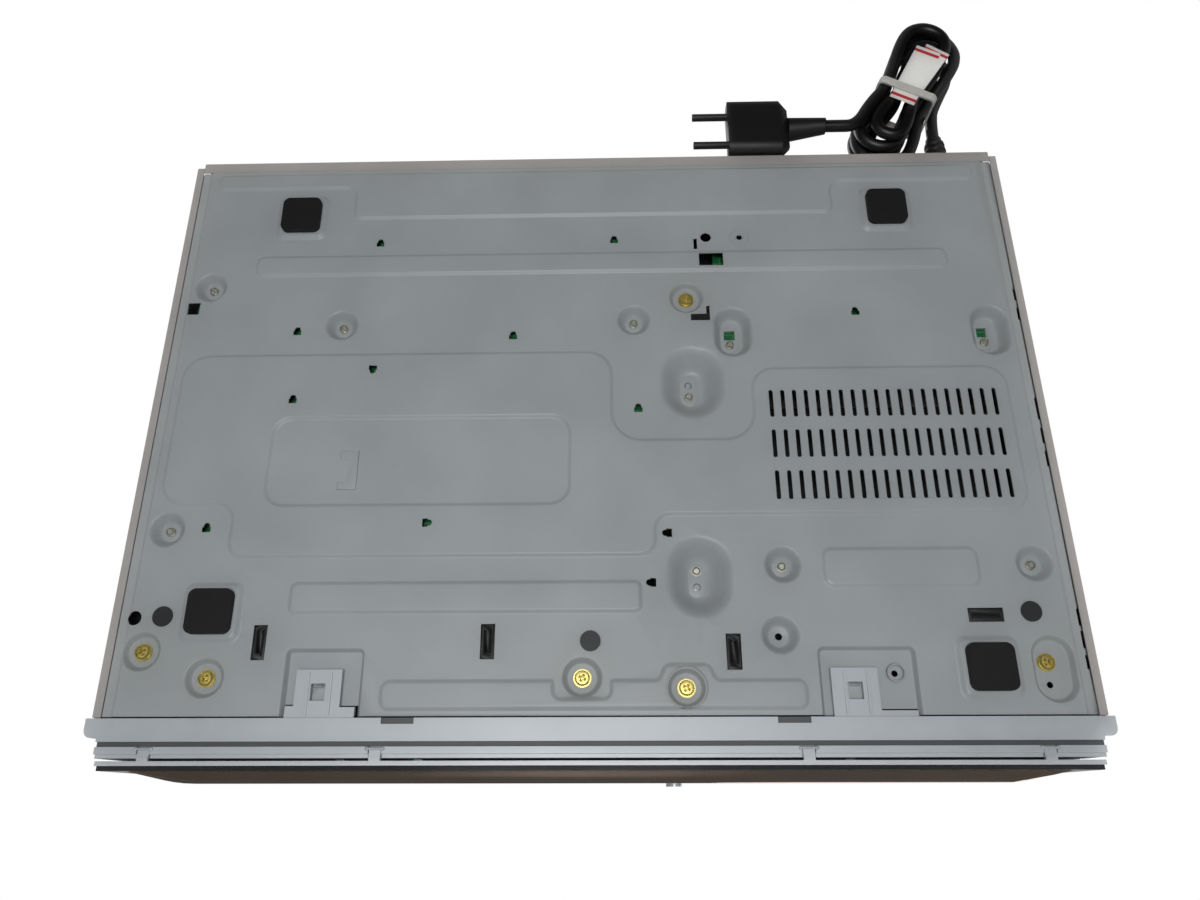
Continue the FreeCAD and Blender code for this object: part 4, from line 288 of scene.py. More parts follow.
finishes |= {
    # Silver-lacquered ABS: pale, slightly metallic, soft highlights
    "silver_plastic": moulded("silver_lacquered_abs", "#b9bdc1", 0.46, 0.3, 0.02, 0.1, 0.25),
    # The same lacquer on the buttons, polished by fingers
    "button_plastic": moulded("silver_button_abs", "#b9bdc1", 0.28, 0.3, 0.015, 0.3, 0.45),
    # A dark grey that stands in as painted shade in the groove and notches under the front frame, where the
    # silver lies in shadow
    "painted_groove_shade": moulded("painted_shade_grey_abs", "#54575a", 0.5),
    # Black ABS and nylon: mould grain that greys the black a little
    "black_plastic": moulded("black_nylon", "#1b1b1c", 0.5),
    "socket_plastic": moulded("socket_black_pbt", "#161617", 0.45),
    "grey_plastic": moulded("dark_grey_nylon", "#26282b", 0.48),
    "drive_plastic": moulded("drive_black_abs", "#1c1d1f", 0.55),
    "tray_plastic": moulded("tray_charcoal_abs", "#26272a", 0.5),
    "reel_plastic": moulded("reel_grey_acetal", "#34363a", 0.35),
    # Natural acetal, chip epoxy and the shrunk sleeve of a capacitor
    "gear_plastic": moulded("white_acetal", "#e4e2d8", 0.4, 0.6, 0.01),
    "chip_plastic": moulded("chip_epoxy", "#202122", 0.55, 0.5, 0.03),
    "capacitor_sleeve": moulded("shrunk_vinyl_sleeve", "#141a2c", 0.25, 2.0, 0.01, 0.4),
    # PVC of the lead and its plug, and the rubber of the feet and roller
    "lead_rubber": moulded("black_pvc_sheath", "#121213", 0.38, 0.8, 0.02),
    "foot_rubber": moulded("black_foot_rubber", "#1b1918", 0.72, 0.7, 0.12),
}
print(len(finishes), "finishes so far")

# %% [markdown]
# Bare metals differ in how they were made. Rolled and turned parts carry fine lines, plated
# screws have a soft yellow or white zinc with small blotches, and chrome shows the room, with a dark brown
# painted reflection in its colour.

# %% Bare metals
def bare_metal(name, code, rough, lines=(1, 1, 1), blotch=6.0):
    """Metal with tool lines along one axis, or plain plating, and a little blotching."""
    made, net, out = new_material(name)
    where = add(net, "TexCoord")
    base = Vector(colour(code)[:3])
    blots = add(net, "TexNoise", {"Vector": where.outputs["Object"], "Scale": 1 / mm(blotch), "Detail": 4})
    tones = add(net, "ValToRGB", {"Fac": blots.outputs["Fac"]})
    tones.color_ramp.elements[0].color = (*(base * 0.8), 1)
    tones.color_ramp.elements[1].color = (*(base * 1.1), 1)
    drawn = add(net, "Mapping", {"Vector": where.outputs["Object"], "Scale": lines})
    marks = add(net, "TexNoise", {"Vector": drawn.outputs[0], "Scale": 1 / mm(0.6), "Detail": 2})
    cut_lines = add(net, "Bump", {"Height": marks.outputs["Fac"], "Strength": 0.15, "Distance": mm(0.05)})
    polish = add(net, "MapRange", {"Value": blots.outputs["Fac"], "To Min": rough * 0.7,
                                   "To Max": rough * 1.3})
    shine = add(net, "BsdfPrincipled", {"Base Color": tones.outputs["Color"], "Metallic": 1.0,
                                        "Roughness": polish.outputs[0], "Normal": cut_lines.outputs[0]})
    net.links.new(shine.outputs[0], out.inputs["Surface"])
    return made


finishes |= {
    # Yellow-passivated zinc: straw with a green cast
    "yellow_screw": bare_metal("yellow_zinc_plate", "#e6d68a", 0.36, blotch=3),
    # Bright zinc: nearly white
    "plain_screw": bare_metal("bright_zinc_plate", "#e2e0d4", 0.36, blotch=3),
    # Chrome plate whose colour is darkened and browned as a painted reflection of a dark brown room
    "bright_lip": bare_metal("painted_reflection_chrome", "#6d625a", 0.07, blotch=40),
    # Turned and drawn metals, whose lines run round or along the part
    "motor_steel": bare_metal("turned_steel", "#b4b3ae", 0.22, (1, 1, 12)),
    "drum_aluminium": bare_metal("turned_aluminium", "#cfd0d1", 0.16, (1, 1, 14)),
    "fin_aluminium": bare_metal("extruded_aluminium", "#b9babb", 0.38, (1, 1, 0.1)),
    "tin_can": bare_metal("tinned_steel", "#b8b9b6", 0.3, (0.2, 1, 1)),
    "spring_steel": bare_metal("spring_wire", "#a3a29e", 0.28),
    "transformer_core": bare_metal("varnished_laminations", "#4c4640", 0.5, (1, 14, 1)),
}
print(len(finishes), "finishes")

# %% [markdown]
# Five finishes need a recipe of their own: the circuit board's green lacquer over copper tracks,
# the smoked front window, the glass of the display tube, the tie's milky nylon, and paper with a
# printed red line near each end.

# %% Circuit board
board, net, out = new_material("green_solder_mask")
where = add(net, "TexCoord")
tracks = add(net, "TexBrick", {"Vector": where.outputs["Object"], "Scale": 1 / mm(14), "Mortar Size": 0.02,
                               "Color1": colour("#1d5a34"), "Color2": colour("#246b3d"),
                               "Mortar": colour("#3c8a55")}, offset=0.37)
speck = add(net, "TexVoronoi", {"Vector": where.outputs["Object"], "Scale": 1 / mm(2.6)})
pads = add(net, "MapRange", {"Value": speck.outputs["Distance"], "From Min": 0.16, "From Max": 0.12})
tinned = add(net, "Mix", {0: pads.outputs[0], 6: tracks.outputs["Color"], 7: colour("#b9bcae")},
             data_type="RGBA")
raised = add(net, "Bump", {"Height": pads.outputs[0], "Strength": 0.4, "Distance": mm(0.1)})
lacquer = add(net, "BsdfPrincipled", {"Base Color": tinned.outputs[2], "Roughness": 0.3,
                                      "Normal": raised.outputs[0], "Metallic": pads.outputs[0]})
net.links.new(lacquer.outputs[0], out.inputs["Surface"])
finishes["circuit_board"] = board
print(board.name)

# %% Smoked acrylic and tube glass
window, net, out = new_material("smoked_acrylic")
where = add(net, "TexCoord")
wipes = add(net, "TexNoise", {"Vector": where.outputs["Object"], "Scale": 1 / mm(30), "Detail": 5})
film = add(net, "MapRange", {"Value": wipes.outputs["Fac"], "To Min": 0.03, "To Max": 0.14})
smoke = add(net, "BsdfPrincipled", {"Base Color": colour("#131315"), "Roughness": film.outputs[0],
                                    "IOR": 1.49, "Coat Weight": 0.3, "Coat Roughness": 0.03})
net.links.new(smoke.outputs[0], out.inputs["Surface"])
finishes["dark_window"] = window

tube, net, out = new_material("tube_glass")
where = add(net, "TexCoord")
rows = add(net, "TexWave", {"Vector": where.outputs["Object"], "Scale": 0.314 / mm(2)}, bands_direction="X")
grid = add(net, "ValToRGB", {"Fac": rows.outputs["Fac"]})
grid.color_ramp.elements[0].color = colour("#3d4a4c")
grid.color_ramp.elements[1].color = colour("#7c8f90")
pane = add(net, "BsdfPrincipled", {"Base Color": grid.outputs["Color"], "Roughness": 0.06, "IOR": 1.52,
                                   "Coat Weight": 1.0, "Coat Roughness": 0.02})
net.links.new(pane.outputs[0], out.inputs["Surface"])
finishes["tube_glass"] = tube
print(window.name, tube.name)

# %% Tie nylon and tag paper
nylon, net, out = new_material("clear_nylon")
where = add(net, "TexCoord")
haze = add(net, "TexNoise", {"Vector": where.outputs["Object"], "Scale": 1 / mm(3), "Detail": 2})
milk = add(net, "ValToRGB", {"Fac": haze.outputs["Fac"]})
milk.color_ramp.elements[0].color = colour("#d6d1c8")
milk.color_ramp.elements[1].color = colour("#efebe4")
clear_strap = add(net, "BsdfPrincipled", {"Base Color": milk.outputs["Color"], "Roughness": 0.28, "IOR": 1.53,
                                          "Transmission Weight": 0.2, "Subsurface Weight": 0.15})
net.links.new(clear_strap.outputs[0], out.inputs["Surface"])
finishes["tie_nylon"] = nylon

card, net, out = new_material("tag_card")
across = add(net, "UVMap")
split = add(net, "SeparateXYZ", {"Vector": across.outputs[0]})
edge = add(net, "Math", {0: split.outputs["X"], 1: 0.5}, operation="SUBTRACT")
reach = add(net, "Math", {0: edge.outputs[0]}, operation="ABSOLUTE")
inner = add(net, "Math", {0: reach.outputs[0], 1: 0.40}, operation="GREATER_THAN")
outer = add(net, "Math", {0: reach.outputs[0], 1: 0.45}, operation="LESS_THAN")
lined = add(net, "Math", {0: inner.outputs[0], 1: outer.outputs[0]}, operation="MULTIPLY")
where = add(net, "TexCoord")
fibre = add(net, "TexNoise", {"Vector": where.outputs["Object"], "Scale": 1 / mm(1.2), "Detail": 4})
white = add(net, "ValToRGB", {"Fac": fibre.outputs["Fac"]})
white.color_ramp.elements[0].color = colour("#dcdcda")
white.color_ramp.elements[1].color = colour("#f2f2f0")
printed = add(net, "Mix", {0: lined.outputs[0], 6: white.outputs["Color"], 7: colour("#b8323a")},
              data_type="RGBA")
tooth = add(net, "Bump", {"Height": fibre.outputs["Fac"], "Strength": 0.2, "Distance": mm(0.05)})
sheet = add(net, "BsdfPrincipled", {"Base Color": printed.outputs[2], "Roughness": 0.6,
                                    "Normal": tooth.outputs[0]})
net.links.new(sheet.outputs[0], out.inputs["Surface"])
finishes["tag_paper"] = card
print(len(finishes), "finishes")

# %% [markdown]
# Every imported part takes the finish that its record names. Parts that later cells replace by a
# finer piece keep theirs as well, because the finer piece is either a copy that carries it or asks for it by
# the same name.

# %% Finish every part
slot_of = {part["node"]: part["material_slot"] for part in frame["record"]["subparts"]}
for name, node in nodes.items():
    node.data.materials.clear()
    node.data.materials.append(finishes[slot_of[name]])
print(len(slot_of), "parts finished")

# %% [markdown]
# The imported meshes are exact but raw: loose triangles and knife edges. Real pressings and
# mouldings have rounded edges that catch a line of light. These helpers copy a part and join its
# triangles, pick edges by a test, round what is picked, and let the copy stand for the part.

# %% Rounding a part's edges
def only(piece):
    """One object selected and active, and nothing else."""
    bpy.ops.object.select_all(action="DESELECT")
    piece.select_set(True)
    bpy.context.view_layer.objects.active = piece


def tidy_copy(name, simpler=True):
    """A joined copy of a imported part, its flat faces made whole where they have few holes."""
    made = nodes[name].copy()
    made.data = nodes[name].data.copy()
    made.name = name + "_shape"
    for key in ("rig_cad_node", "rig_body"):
        del made[key]
    made.parent = None
    bpy.context.collection.objects.link(made)
    only(made)
    bpy.ops.object.mode_set(mode="EDIT")
    bpy.ops.mesh.select_all(action="SELECT")
    bpy.ops.mesh.remove_doubles(threshold=mm(0.01))
    if simpler:
        bpy.ops.mesh.dissolve_limited(angle_limit=math.radians(0.6), delimit={"NORMAL"})
    bpy.ops.object.mode_set(mode="OBJECT")
    return made


def pick_edges(piece, wanted):
    """Select the edges that wanted(edge, face angle in degrees) accepts, and count them."""
    mesh = bmesh.new()
    mesh.from_mesh(piece.data)
    mesh.select_mode = {"EDGE"}
    for part in (mesh.verts, mesh.edges, mesh.faces):
        for item in part:
            item.select = False
    count = 0
    for edge in mesh.edges:
        if len(edge.link_faces) == 2 and wanted(edge, math.degrees(edge.calc_face_angle(0))):
            edge.select = True
            count += 1
    mesh.to_mesh(piece.data)
    mesh.free()
    bpy.context.scene.tool_settings.mesh_select_mode = (False, True, False)
    return count


def bevel_picked(width, segments=2, clamp=False):
    """Round the selected edges of the active piece by a width in millimetres."""
    bpy.ops.object.mode_set(mode="EDIT")
    bpy.ops.mesh.bevel(offset=mm(width), segments=segments, profile=0.5, clamp_overlap=clamp)
    bpy.ops.object.mode_set(mode="OBJECT")


def join_all(pieces):
    """Several mesh objects as one."""
    bpy.ops.object.select_all(action="DESELECT")
    for piece in pieces:
        piece.select_set(True)
    bpy.context.view_layer.objects.active = pieces[0]
    bpy.ops.object.join()
    return bpy.context.object


def cut_away(piece, tool):
    """Take the tool's volume out of a piece by a boolean, and drop the tool."""
    only(piece)
    cutter = piece.modifiers.new("cut", "BOOLEAN")
    cutter.operation = "DIFFERENCE"
    cutter.object = tool
    bpy.ops.object.modifier_apply(modifier=cutter.name)
    bpy.data.objects.remove(tool)


def stand_in(piece, name):
    """Smooth shading and the part's body for a copy that carries the part's finish, and the part itself
    hidden.
    """
    only(piece)
    bpy.ops.object.shade_smooth_by_angle(angle=SMOOTH_ANGLE)
    weigh = piece.modifiers.new("weighted", "WEIGHTED_NORMAL")
    weigh.keep_sharp = True
    weigh.weight = 100
    bpy.ops.object.modifier_apply(modifier=weigh.name)
    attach(piece, nodes[name]["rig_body"])
    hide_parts(name)
    bpy.ops.object.select_all(action="DESELECT")


print("helpers ready")

# %% [markdown]
# The pan came out of the press with soft edges, and its walls are already modelled as narrow
# bands that follow an S-curve. Joined and shaded smoothly, the bands read as bent sheet, while
# punched holes stay crisp. So the pan needs no bevel, only joining.

# %% The pan
pan = tidy_copy("bottom_chassis", simpler=False)
stand_in(pan, "bottom_chassis")
print(len(pan.data.polygons), "faces in the pan")

# %% [markdown]
# Sheet and moulded parts with straight walls get a small round on every corner. Radii differ:
# folded steel has a tight one, the lacquered front a fuller one, and rubber the fullest.

# %% Rounded corners
def corners(edge, angle):
    """Sharp edges, but not the short steps of a curve."""
    return angle > 50 and edge.calc_length() > mm(1.2)


# Radius of each part's rounding in millimetres
ROUNDS = {"top_cover": 0.35, "rear_panel": 0.2, "fascia": 0.3, "display_window": 0.35,
          "tray_front": 0.5, "cassette_flap": 0.4, "av_flap": 0.35,
          "tray_button": 0.35, "eject_button": 0.35, "play_button": 0.35,
          "stop_button": 0.35, "record_button": 0.35, "channel_button": 0.35,
          "feet": 0.7, "scart_sockets": 0.3, "tuner": 0.3, "heatsink": 0.2, "power_transformer": 0.5,
          "disc_tray": 0.3, "drive_lid": 0.3, "board_chips": 0.15, "hole_plugs": 0.35, "cable_tie": 0.3}
for name, radius in ROUNDS.items():
    piece = tidy_copy(name)
    found = pick_edges(piece, corners)
    bevel_picked(radius, clamp=True)
    stand_in(piece, name)
    print(name, found, "edges")

# %% [markdown]
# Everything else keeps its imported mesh, joined and shaded by angle, so that turned parts look
# round and flat ones flat.

# %% Smooth turned parts
SMOOTH = ["board_clips", "control_lip", "front_jacks", "front_board", "display_tube",
          "power_button", "joystick", "drive_frame", "disc_clamper", "tray_gear",
          "spindle_motor", "disc_spindle", "pickup_sled", "pickup_rails", "deck_frame",
          "drum_base", "head_drum", "capstan", "pinch_roller", "tape_guides",
          "tape_carriage", "flap_spring", "supply_reel", "takeup_reel", "main_board",
          "power_board", "capacitors", "rear_jacks", "strain_relief", "mains_plug"]
for name in SMOOTH:
    piece = tidy_copy(name, simpler=False)
    stand_in(piece, name)
print(len(SMOOTH), "parts smoothed")

# %% [markdown]
# Zinc-plated screws hold the case, the boards and the drive. A real one has a low head on a thin
# collar, and a cross recess that narrows as it goes down. One head is two cylinders. The taller is
# softened on every edge while all are still selected, then rounded where a sharp rim is left, and
# two tapered blades are cut out of it. Copies go to every screw place, each turned differently.

# %% One screw head
def drum(radius, depth):
    """A short cylinder from the origin down along -Z, in millimetres."""
    bpy.ops.mesh.primitive_cylinder_add(vertices=48, radius=mm(radius), depth=mm(depth),
                                        location=(0, 0, mm(-depth / 2)))
    return bpy.context.object


def lower_rim(edge, angle):
    """The sharp edge round the lower end of a cylinder centred on its object."""
    return angle > 60 and max(v.co.z for v in edge.verts) < 0


def finish_piece(piece, name, finish):
    """Name, material, smooth shading and body for a piece of its own on the case."""
    only(piece)
    bpy.ops.object.transform_apply(location=True, rotation=True, scale=True)
    bpy.ops.object.shade_smooth_by_angle(angle=SMOOTH_ANGLE)
    piece.name = name
    piece.data.materials.clear()
    piece.data.materials.append(finishes[finish])
    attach(piece, "case")
    bpy.ops.object.select_all(action="DESELECT")
    return piece


def cross_head(radius, rise, arm):
    """A screw head with collar and cross recess about the origin, its top facing -Z."""
    ring = drum(radius, 0.3 * rise)
    dome = drum(0.8 * radius, rise)
    bevel_picked(0.18 * rise, 5)
    pick_edges(dome, lower_rim)
    bevel_picked(0.5 * rise, 5)
    for turn in (0, math.pi / 2):
        bpy.ops.object.select_all(action="DESELECT")
        bpy.ops.mesh.primitive_cone_add(vertices=4, radius1=mm(1.5 * arm), radius2=mm(0.5 * arm),
                                        depth=mm(rise), location=(0, 0, mm(-0.75 * rise)))
        blade = bpy.context.object
        bpy.ops.object.mode_set(mode="EDIT")
        bpy.ops.transform.rotate(value=math.pi / 4, orient_axis="Z", center_override=(0, 0, 0))
        bpy.ops.transform.resize(value=(1, 0.32, 1), center_override=(0, 0, 0))
        bpy.ops.transform.rotate(value=turn, orient_axis="Z", center_override=(0, 0, 0))
        bpy.ops.object.mode_set(mode="OBJECT")
        cut_away(dome, blade)
    head = join_all([ring, dome])
    bpy.ops.object.transform_apply(location=True, rotation=True, scale=True)
    return head


def set_screws(name, pattern, places, finish):
    """Copies of a head at places of (x, y, level, turn, tilt), joined to one piece."""
    copies = []
    for x, y, level, turn, tilt in places:
        one = pattern.copy()
        one.data = pattern.data.copy()
        bpy.context.collection.objects.link(one)
        one.data.transform(Matrix.Rotation(tilt, 4, "X") @ Matrix.Rotation(turn, 4, "Z"))
        one.data.transform(Matrix.Translation(mm(x, y, level)))
        copies.append(one)
    bpy.data.objects.remove(pattern)
    return finish_piece(join_all(copies), name, finish)


large = cross_head(3.95, 1.75, 2.0)
small = cross_head(2.3, 1.3, 1.1)
print(len(large.data.polygons), "faces in a screw head")

# %% [markdown]
# Now the places, each across the pan and back from its front edge. Large yellow screws sit on the
# floors of the wells, and three more hold the rear panel, their heads turned to the rear. Smaller
# white ones hold boards, brackets and drive, and sit on the small pads of the next cell.

# %% Set the screws
BRASS = [(-46.8, 203.5), (199, 28.3), (169.2, 16.8), (5.2, 16.4), (-39.6, 12.1), (-194.2, 22.4)]
BOARD = [(196.3, 213), (126.5, 190), (-20.1, 191), (196.9, 83.8), (-84.5, 65.5), (-195.9, 65.5)]
BOSSES = [(-68, 179.3, POWER_FLOOR), (-194, 179.3, POWER_FLOOR),
          (-46.7, 152.5, DRIVE_FLOOR), (-46.6, 64.9, DRIVE_FLOOR)]
REAR_SCREWS = (-190, 0, 190)
REAR_SCREW_HEIGHT = 80
large_places = [(x, FRONT + v, SCREW_FLOOR, 0.7 * x, 0) for x, v in BRASS]
large_places += [(x, REAR_FACE, REAR_SCREW_HEIGHT, 0.5 * x, math.pi / 2) for x in REAR_SCREWS]
case_heads = set_screws("case_heads", large, large_places, "yellow_screw")
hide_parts("case_screws")
small_places = [(x, FRONT + v, BOARD_FLOOR - PAD, 0.9 * x, 0) for x, v in BOARD]
small_places += [(x, FRONT + v, level - PAD, 0.9 * x, 0) for x, v, level in BOSSES]
board_heads = set_screws("board_heads", small, small_places, "plain_screw")
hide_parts("board_screws")
print(len(large_places), "large heads,", len(small_places), "small heads")

# %% [markdown]
# The small screws bear on flat pads, stamped a little proud of the floors of their wells: long
# ones with round ends in the deep wells, and nearly round ones in the others. A pad is an outline
# pulled to a plate, with the rim that faces the view rounded. The same plate makes the
# bracket-shaped mark that is pressed in the pan's middle field.

# %% Pads and the pressed bracket
def plate(outline, low, high, soft):
    """A flat plate over an outline of (x, y) in millimetres, its lower rim rounded."""
    flat = bpy.data.meshes.new("plate")
    piece = bpy.data.objects.new("plate", flat)
    bpy.context.collection.objects.link(piece)
    shape = bmesh.new()
    face = shape.faces.new([shape.verts.new(mm(x, y, high)) for x, y in outline])
    drawn = bmesh.ops.extrude_face_region(shape, geom=[face])
    moved = [v for v in drawn["geom"] if isinstance(v, bmesh.types.BMVert)]
    bmesh.ops.translate(shape, verts=moved, vec=mm(0, 0, low - high))
    bmesh.ops.recalc_face_normals(shape, faces=shape.faces)
    middle = mm((low + high) / 2)
    rim = [edge for edge in shape.edges if all(v.co.z < middle for v in edge.verts)]
    bmesh.ops.bevel(shape, geom=rim, offset=mm(soft), segments=3, profile=0.5, affect="EDGES")
    shape.to_mesh(flat)
    shape.free()
    return piece


def racetrack(x, y, half_wide, half_long, steps=14):
    """Outline with round ends along Y; it needs to be longer than wide."""
    outline = []
    for end in (1, -1):
        for step in range(steps + 1):
            angle = math.pi * step / steps
            outline.append((x + end * half_wide * math.cos(angle),
                            y + end * (half_long - half_wide + half_wide * math.sin(angle))))
    return outline


def pad(x, v, half_wide, half_long, floor_height):
    """One pad on the floor of a well, let 0.15 mm into it."""
    outline = racetrack(x, FRONT + v, half_wide, half_long)
    return plate(outline, floor_height - PAD, floor_height + 0.15, 0.2)


DRIVE_WELLS = [(-46.7, 155.7), (-46.6, 61.3)]
POWER_WELLS = [(-68, 182.6), (-193.7, 182.6)]
made = [pad(x, v, 4.3, 8.6, DRIVE_FLOOR) for x, v in DRIVE_WELLS]
made += [pad(x, v, 4.6, 7.4, POWER_FLOOR) for x, v in POWER_WELLS]
made += [pad(x, v, 4.2, 4.5, BOARD_FLOOR) for x, v in BOARD]
pads = join_all(made)
windows = []
for x, v in POWER_WELLS:
    bpy.ops.mesh.primitive_cube_add(size=1, location=mm(x, FRONT + v + 2.2, POWER_FLOOR - 0.1),
                                    scale=mm(5.4, 5.2, 4))
    windows.append(bpy.context.object)
window_tool = join_all(windows)
bpy.ops.object.transform_apply(location=True, rotation=True, scale=True)
cut_away(pads, window_tool)
finish_piece(pads, "well_pads", "pan_steel")
BRACKET = [(111.3, 121.8), (120, 121.8), (120, 118), (115.7, 117.6),
           (115.7, 107), (120, 106.5), (120, 102.7), (111.3, 102.7)]
mark = plate([(x, FRONT + v) for x, v in BRACKET], PAN_FACE - 0.3, PAN_FACE + 0.2, 0.25)
finish_piece(mark, "pressed_bracket", "pan_steel")
print(len(made), "pads and a bracket")

# %% [markdown]
# Two holes have a flat ring pressed round them, and in each of the two deep wells the drive's
# hollow steel pin stands beside its screw. A ring is a thin torus sunk to its middle in the
# sheet; a pin is a cylinder with its end hollowed by an inset and a short extrusion.

# %% Rings and hollow pins
# Across the pan, back from its front edge, and the ring's radius
RINGS = ((-129.1, 18, 3.6), (-75.5, 239, 4.7), (-75.5, 239, 2.1))
PINS = ((-46.7, 158.9), (-46.6, 57.6))
made = []
for x, v, radius in RINGS:
    bpy.ops.mesh.primitive_torus_add(major_radius=mm(radius), minor_radius=mm(0.4), major_segments=48,
                                     minor_segments=10, location=mm(x, FRONT + v, PAN_FACE + 0.12))
    made.append(bpy.context.object)
finish_piece(join_all(made), "pressed_rings", "pan_steel")
made = []
for x, v in PINS:
    bpy.ops.mesh.primitive_cylinder_add(vertices=40, radius=mm(1.9), depth=mm(3),
                                        location=mm(x, FRONT + v, DRIVE_FLOOR + 1))
    pin = bpy.context.object
    pick_edges(pin, lower_rim)
    bpy.ops.object.mode_set(mode="EDIT")
    bpy.ops.mesh.bevel(offset=mm(0.35), segments=3)
    bpy.ops.mesh.select_mode(type="FACE")
    bpy.ops.mesh.select_all(action="DESELECT")
    bpy.ops.object.mode_set(mode="OBJECT")
    for face in pin.data.polygons:
        face.select = face.normal.z < -0.9 and face.area > mm(1) ** 2
    bpy.ops.object.mode_set(mode="EDIT")
    bpy.ops.mesh.inset(thickness=mm(0.25))
    bpy.ops.mesh.extrude_region_move(TRANSFORM_OT_translate={"value": mm(0, 0, 0.7)})
    bpy.ops.object.mode_set(mode="OBJECT")
    made.append(pin)
finish_piece(join_all(made), "drive_pins", "motor_steel")
print(len(RINGS), "rings and", len(PINS), "pins")

# %% [markdown]
# The front frame is moulded in silver ABS. Under it run a groove and a parting line, and two
# shallow notches with a moulding hole. Notches are cut by a boolean; the groove's floor is told by
# its height, and its faces and the notches' take a dark grey plastic that is painted shade,
# standing in for the shadow that falls in them.

# %% The front frame
NOTCHES = (83.4, -84)
MOULDING_HOLE = 79
WING = 216.5
frame_shape = tidy_copy("front_bezel")
tools = []
for x in NOTCHES:
    bpy.ops.mesh.primitive_cube_add(size=1, location=mm(x, FRONT - 0.6, 3.3), scale=mm(13.8, 3.8, 2))
    tools.append(bpy.context.object)
bpy.ops.mesh.primitive_cylinder_add(vertices=24, radius=mm(0.9), depth=mm(6),
                                    location=mm(MOULDING_HOLE, FRONT - 1.2, 4))
tools.append(bpy.context.object)
notch_tool = join_all(tools)
bpy.ops.object.transform_apply(location=True, rotation=True, scale=True)
cut_away(frame_shape, notch_tool)


def wing_corner(edge, angle):
    """The upright front corners of the two wings."""
    ends = [v.co for v in edge.verts]
    outside = all(abs(end.x) > mm(WING) and end.y < mm(FRONT - 3) for end in ends)
    return angle > 60 and outside and abs(ends[0].z - ends[1].z) > mm(20)


uprights = pick_edges(frame_shape, wing_corner)
bevel_picked(3.2, 4)
found = pick_edges(frame_shape, corners)
bevel_picked(0.35, clamp=True)
print(uprights, "wing corners and", found, "edges rounded")

# %% Painted shade in the groove and the notches
GROOVE = (FRONT - 11.7, FRONT - 9.4)
NOTCH = (FRONT - 2.6, FRONT)
frame_shape.data.materials.clear()
frame_shape.data.materials.append(finishes["silver_plastic"])
frame_shape.data.materials.append(finishes["painted_groove_shade"])
# Faces in the groove's band and in the notches are given the dark grey as painted shade; grey counts them.
grey = 0
for face in frame_shape.data.polygons:
    x, y, z = face.center * 1000
    in_band = any(low < y < high for low, high in (GROOVE, NOTCH))
    if in_band and 3.9 < z < 6.2 and abs(x) < 214:
        face.material_index = 1
        grey += 1
stand_in(frame_shape, "front_bezel")
# The count printed is of the faces given painted shade.
print(grey, "faces of bare plastic")

# %% [markdown]
# Four snap clips hold the fascia to the frame. Each shows a small cross bar with a ball at either
# end, lying in the slot above the fascia's tab.

# %% Snap clips
CLIPS = (190, 92, -89, -188)
BAR = FRONT - 12.5
made = []
for x in CLIPS:
    bpy.ops.mesh.primitive_cylinder_add(vertices=16, radius=mm(0.55), depth=mm(6.4),
                                        location=mm(x, BAR, 3.65), rotation=(0, math.pi / 2, 0))
    made.append(bpy.context.object)
    for side in (-3.3, 3.3):
        bpy.ops.mesh.primitive_uv_sphere_add(segments=16, ring_count=10, radius=mm(0.95),
                                             location=mm(x + side, BAR, 3.75))
        made.append(bpy.context.object)
    bpy.ops.mesh.primitive_cube_add(size=1, location=mm(x, BAR - 3.9, 3.75), scale=mm(4.6, 1.3, 0.5))
    made.append(bpy.context.object)
finish_piece(join_all(made), "snap_clips", "silver_plastic")
print(len(CLIPS), "snap clips")

# %% [markdown]
# The mains lead is one black rubber cord. It leaves the strain relief, turns over the top of a
# tied hank, and after eleven runs up and down it comes out at the floor and enters the plug. It
# is drawn as one smooth spline. The hank is wound by a loop: each run has four points and each
# end four more, on a ring a little wider than the turn, which is where such a spline wants them.

# %% The lead's path
LEAD_WIDE = 6.6
HANK_NEAR = Vector((-162.6, 175.15, 0))
HANK_TURN = math.radians(118.5)
ALONG = Vector((math.cos(HANK_TURN), math.sin(HANK_TURN), 0))
ACROSS = Vector((math.sin(HANK_TURN), -math.cos(HANK_TURN), 0))
WAIST = 22
RUN = 59.5
# Column across the hank, and layer at the start and at the end of each run
RUNS = [(2, 3, 3), (-1, 3, 3), (1, 3, 2), (-1, 2, 2), (2, 2, 2), (-2, 2, 1), (2, 1, 1), (-1, 1, 1),
        (1, 1, 0), (-1, 0, 0), (2, 0, 0)]
# Distance along a run and how far the strap draws it in there
DRAWN = ((50, 0.3), (33, 3.2), (21, 4.3), (8, 0.9))


def hank_spot(along, column, layer, drawn=0):
    """A point in the hank, in millimetres, drawn in towards its middle line."""
    aside = (8.1 + 7.65 * (abs(column) - 1) - drawn) * (1 if column > 0 else -1)
    return HANK_NEAR + ALONG * along + ACROSS * aside + Vector((0, 0, 4.8 + 7.1 * layer))


def turn_spots(start, end, way):
    """Four control points round a half turn from start to end."""
    middle = (start + end) / 2
    arm = start - middle
    ring = arm.length / math.cos(math.pi / 8)
    side = arm.normalized()
    spots = []
    for step in (0.5, 1.5, 2.5, 3.5):
        angle = math.pi / 4 * step
        level = start.z + (end.z - start.z) * step / 4
        flat = middle + side * (ring * math.cos(angle)) + way * (ring * math.sin(angle))
        spots.append(Vector((flat.x, flat.y, level)))
    return spots


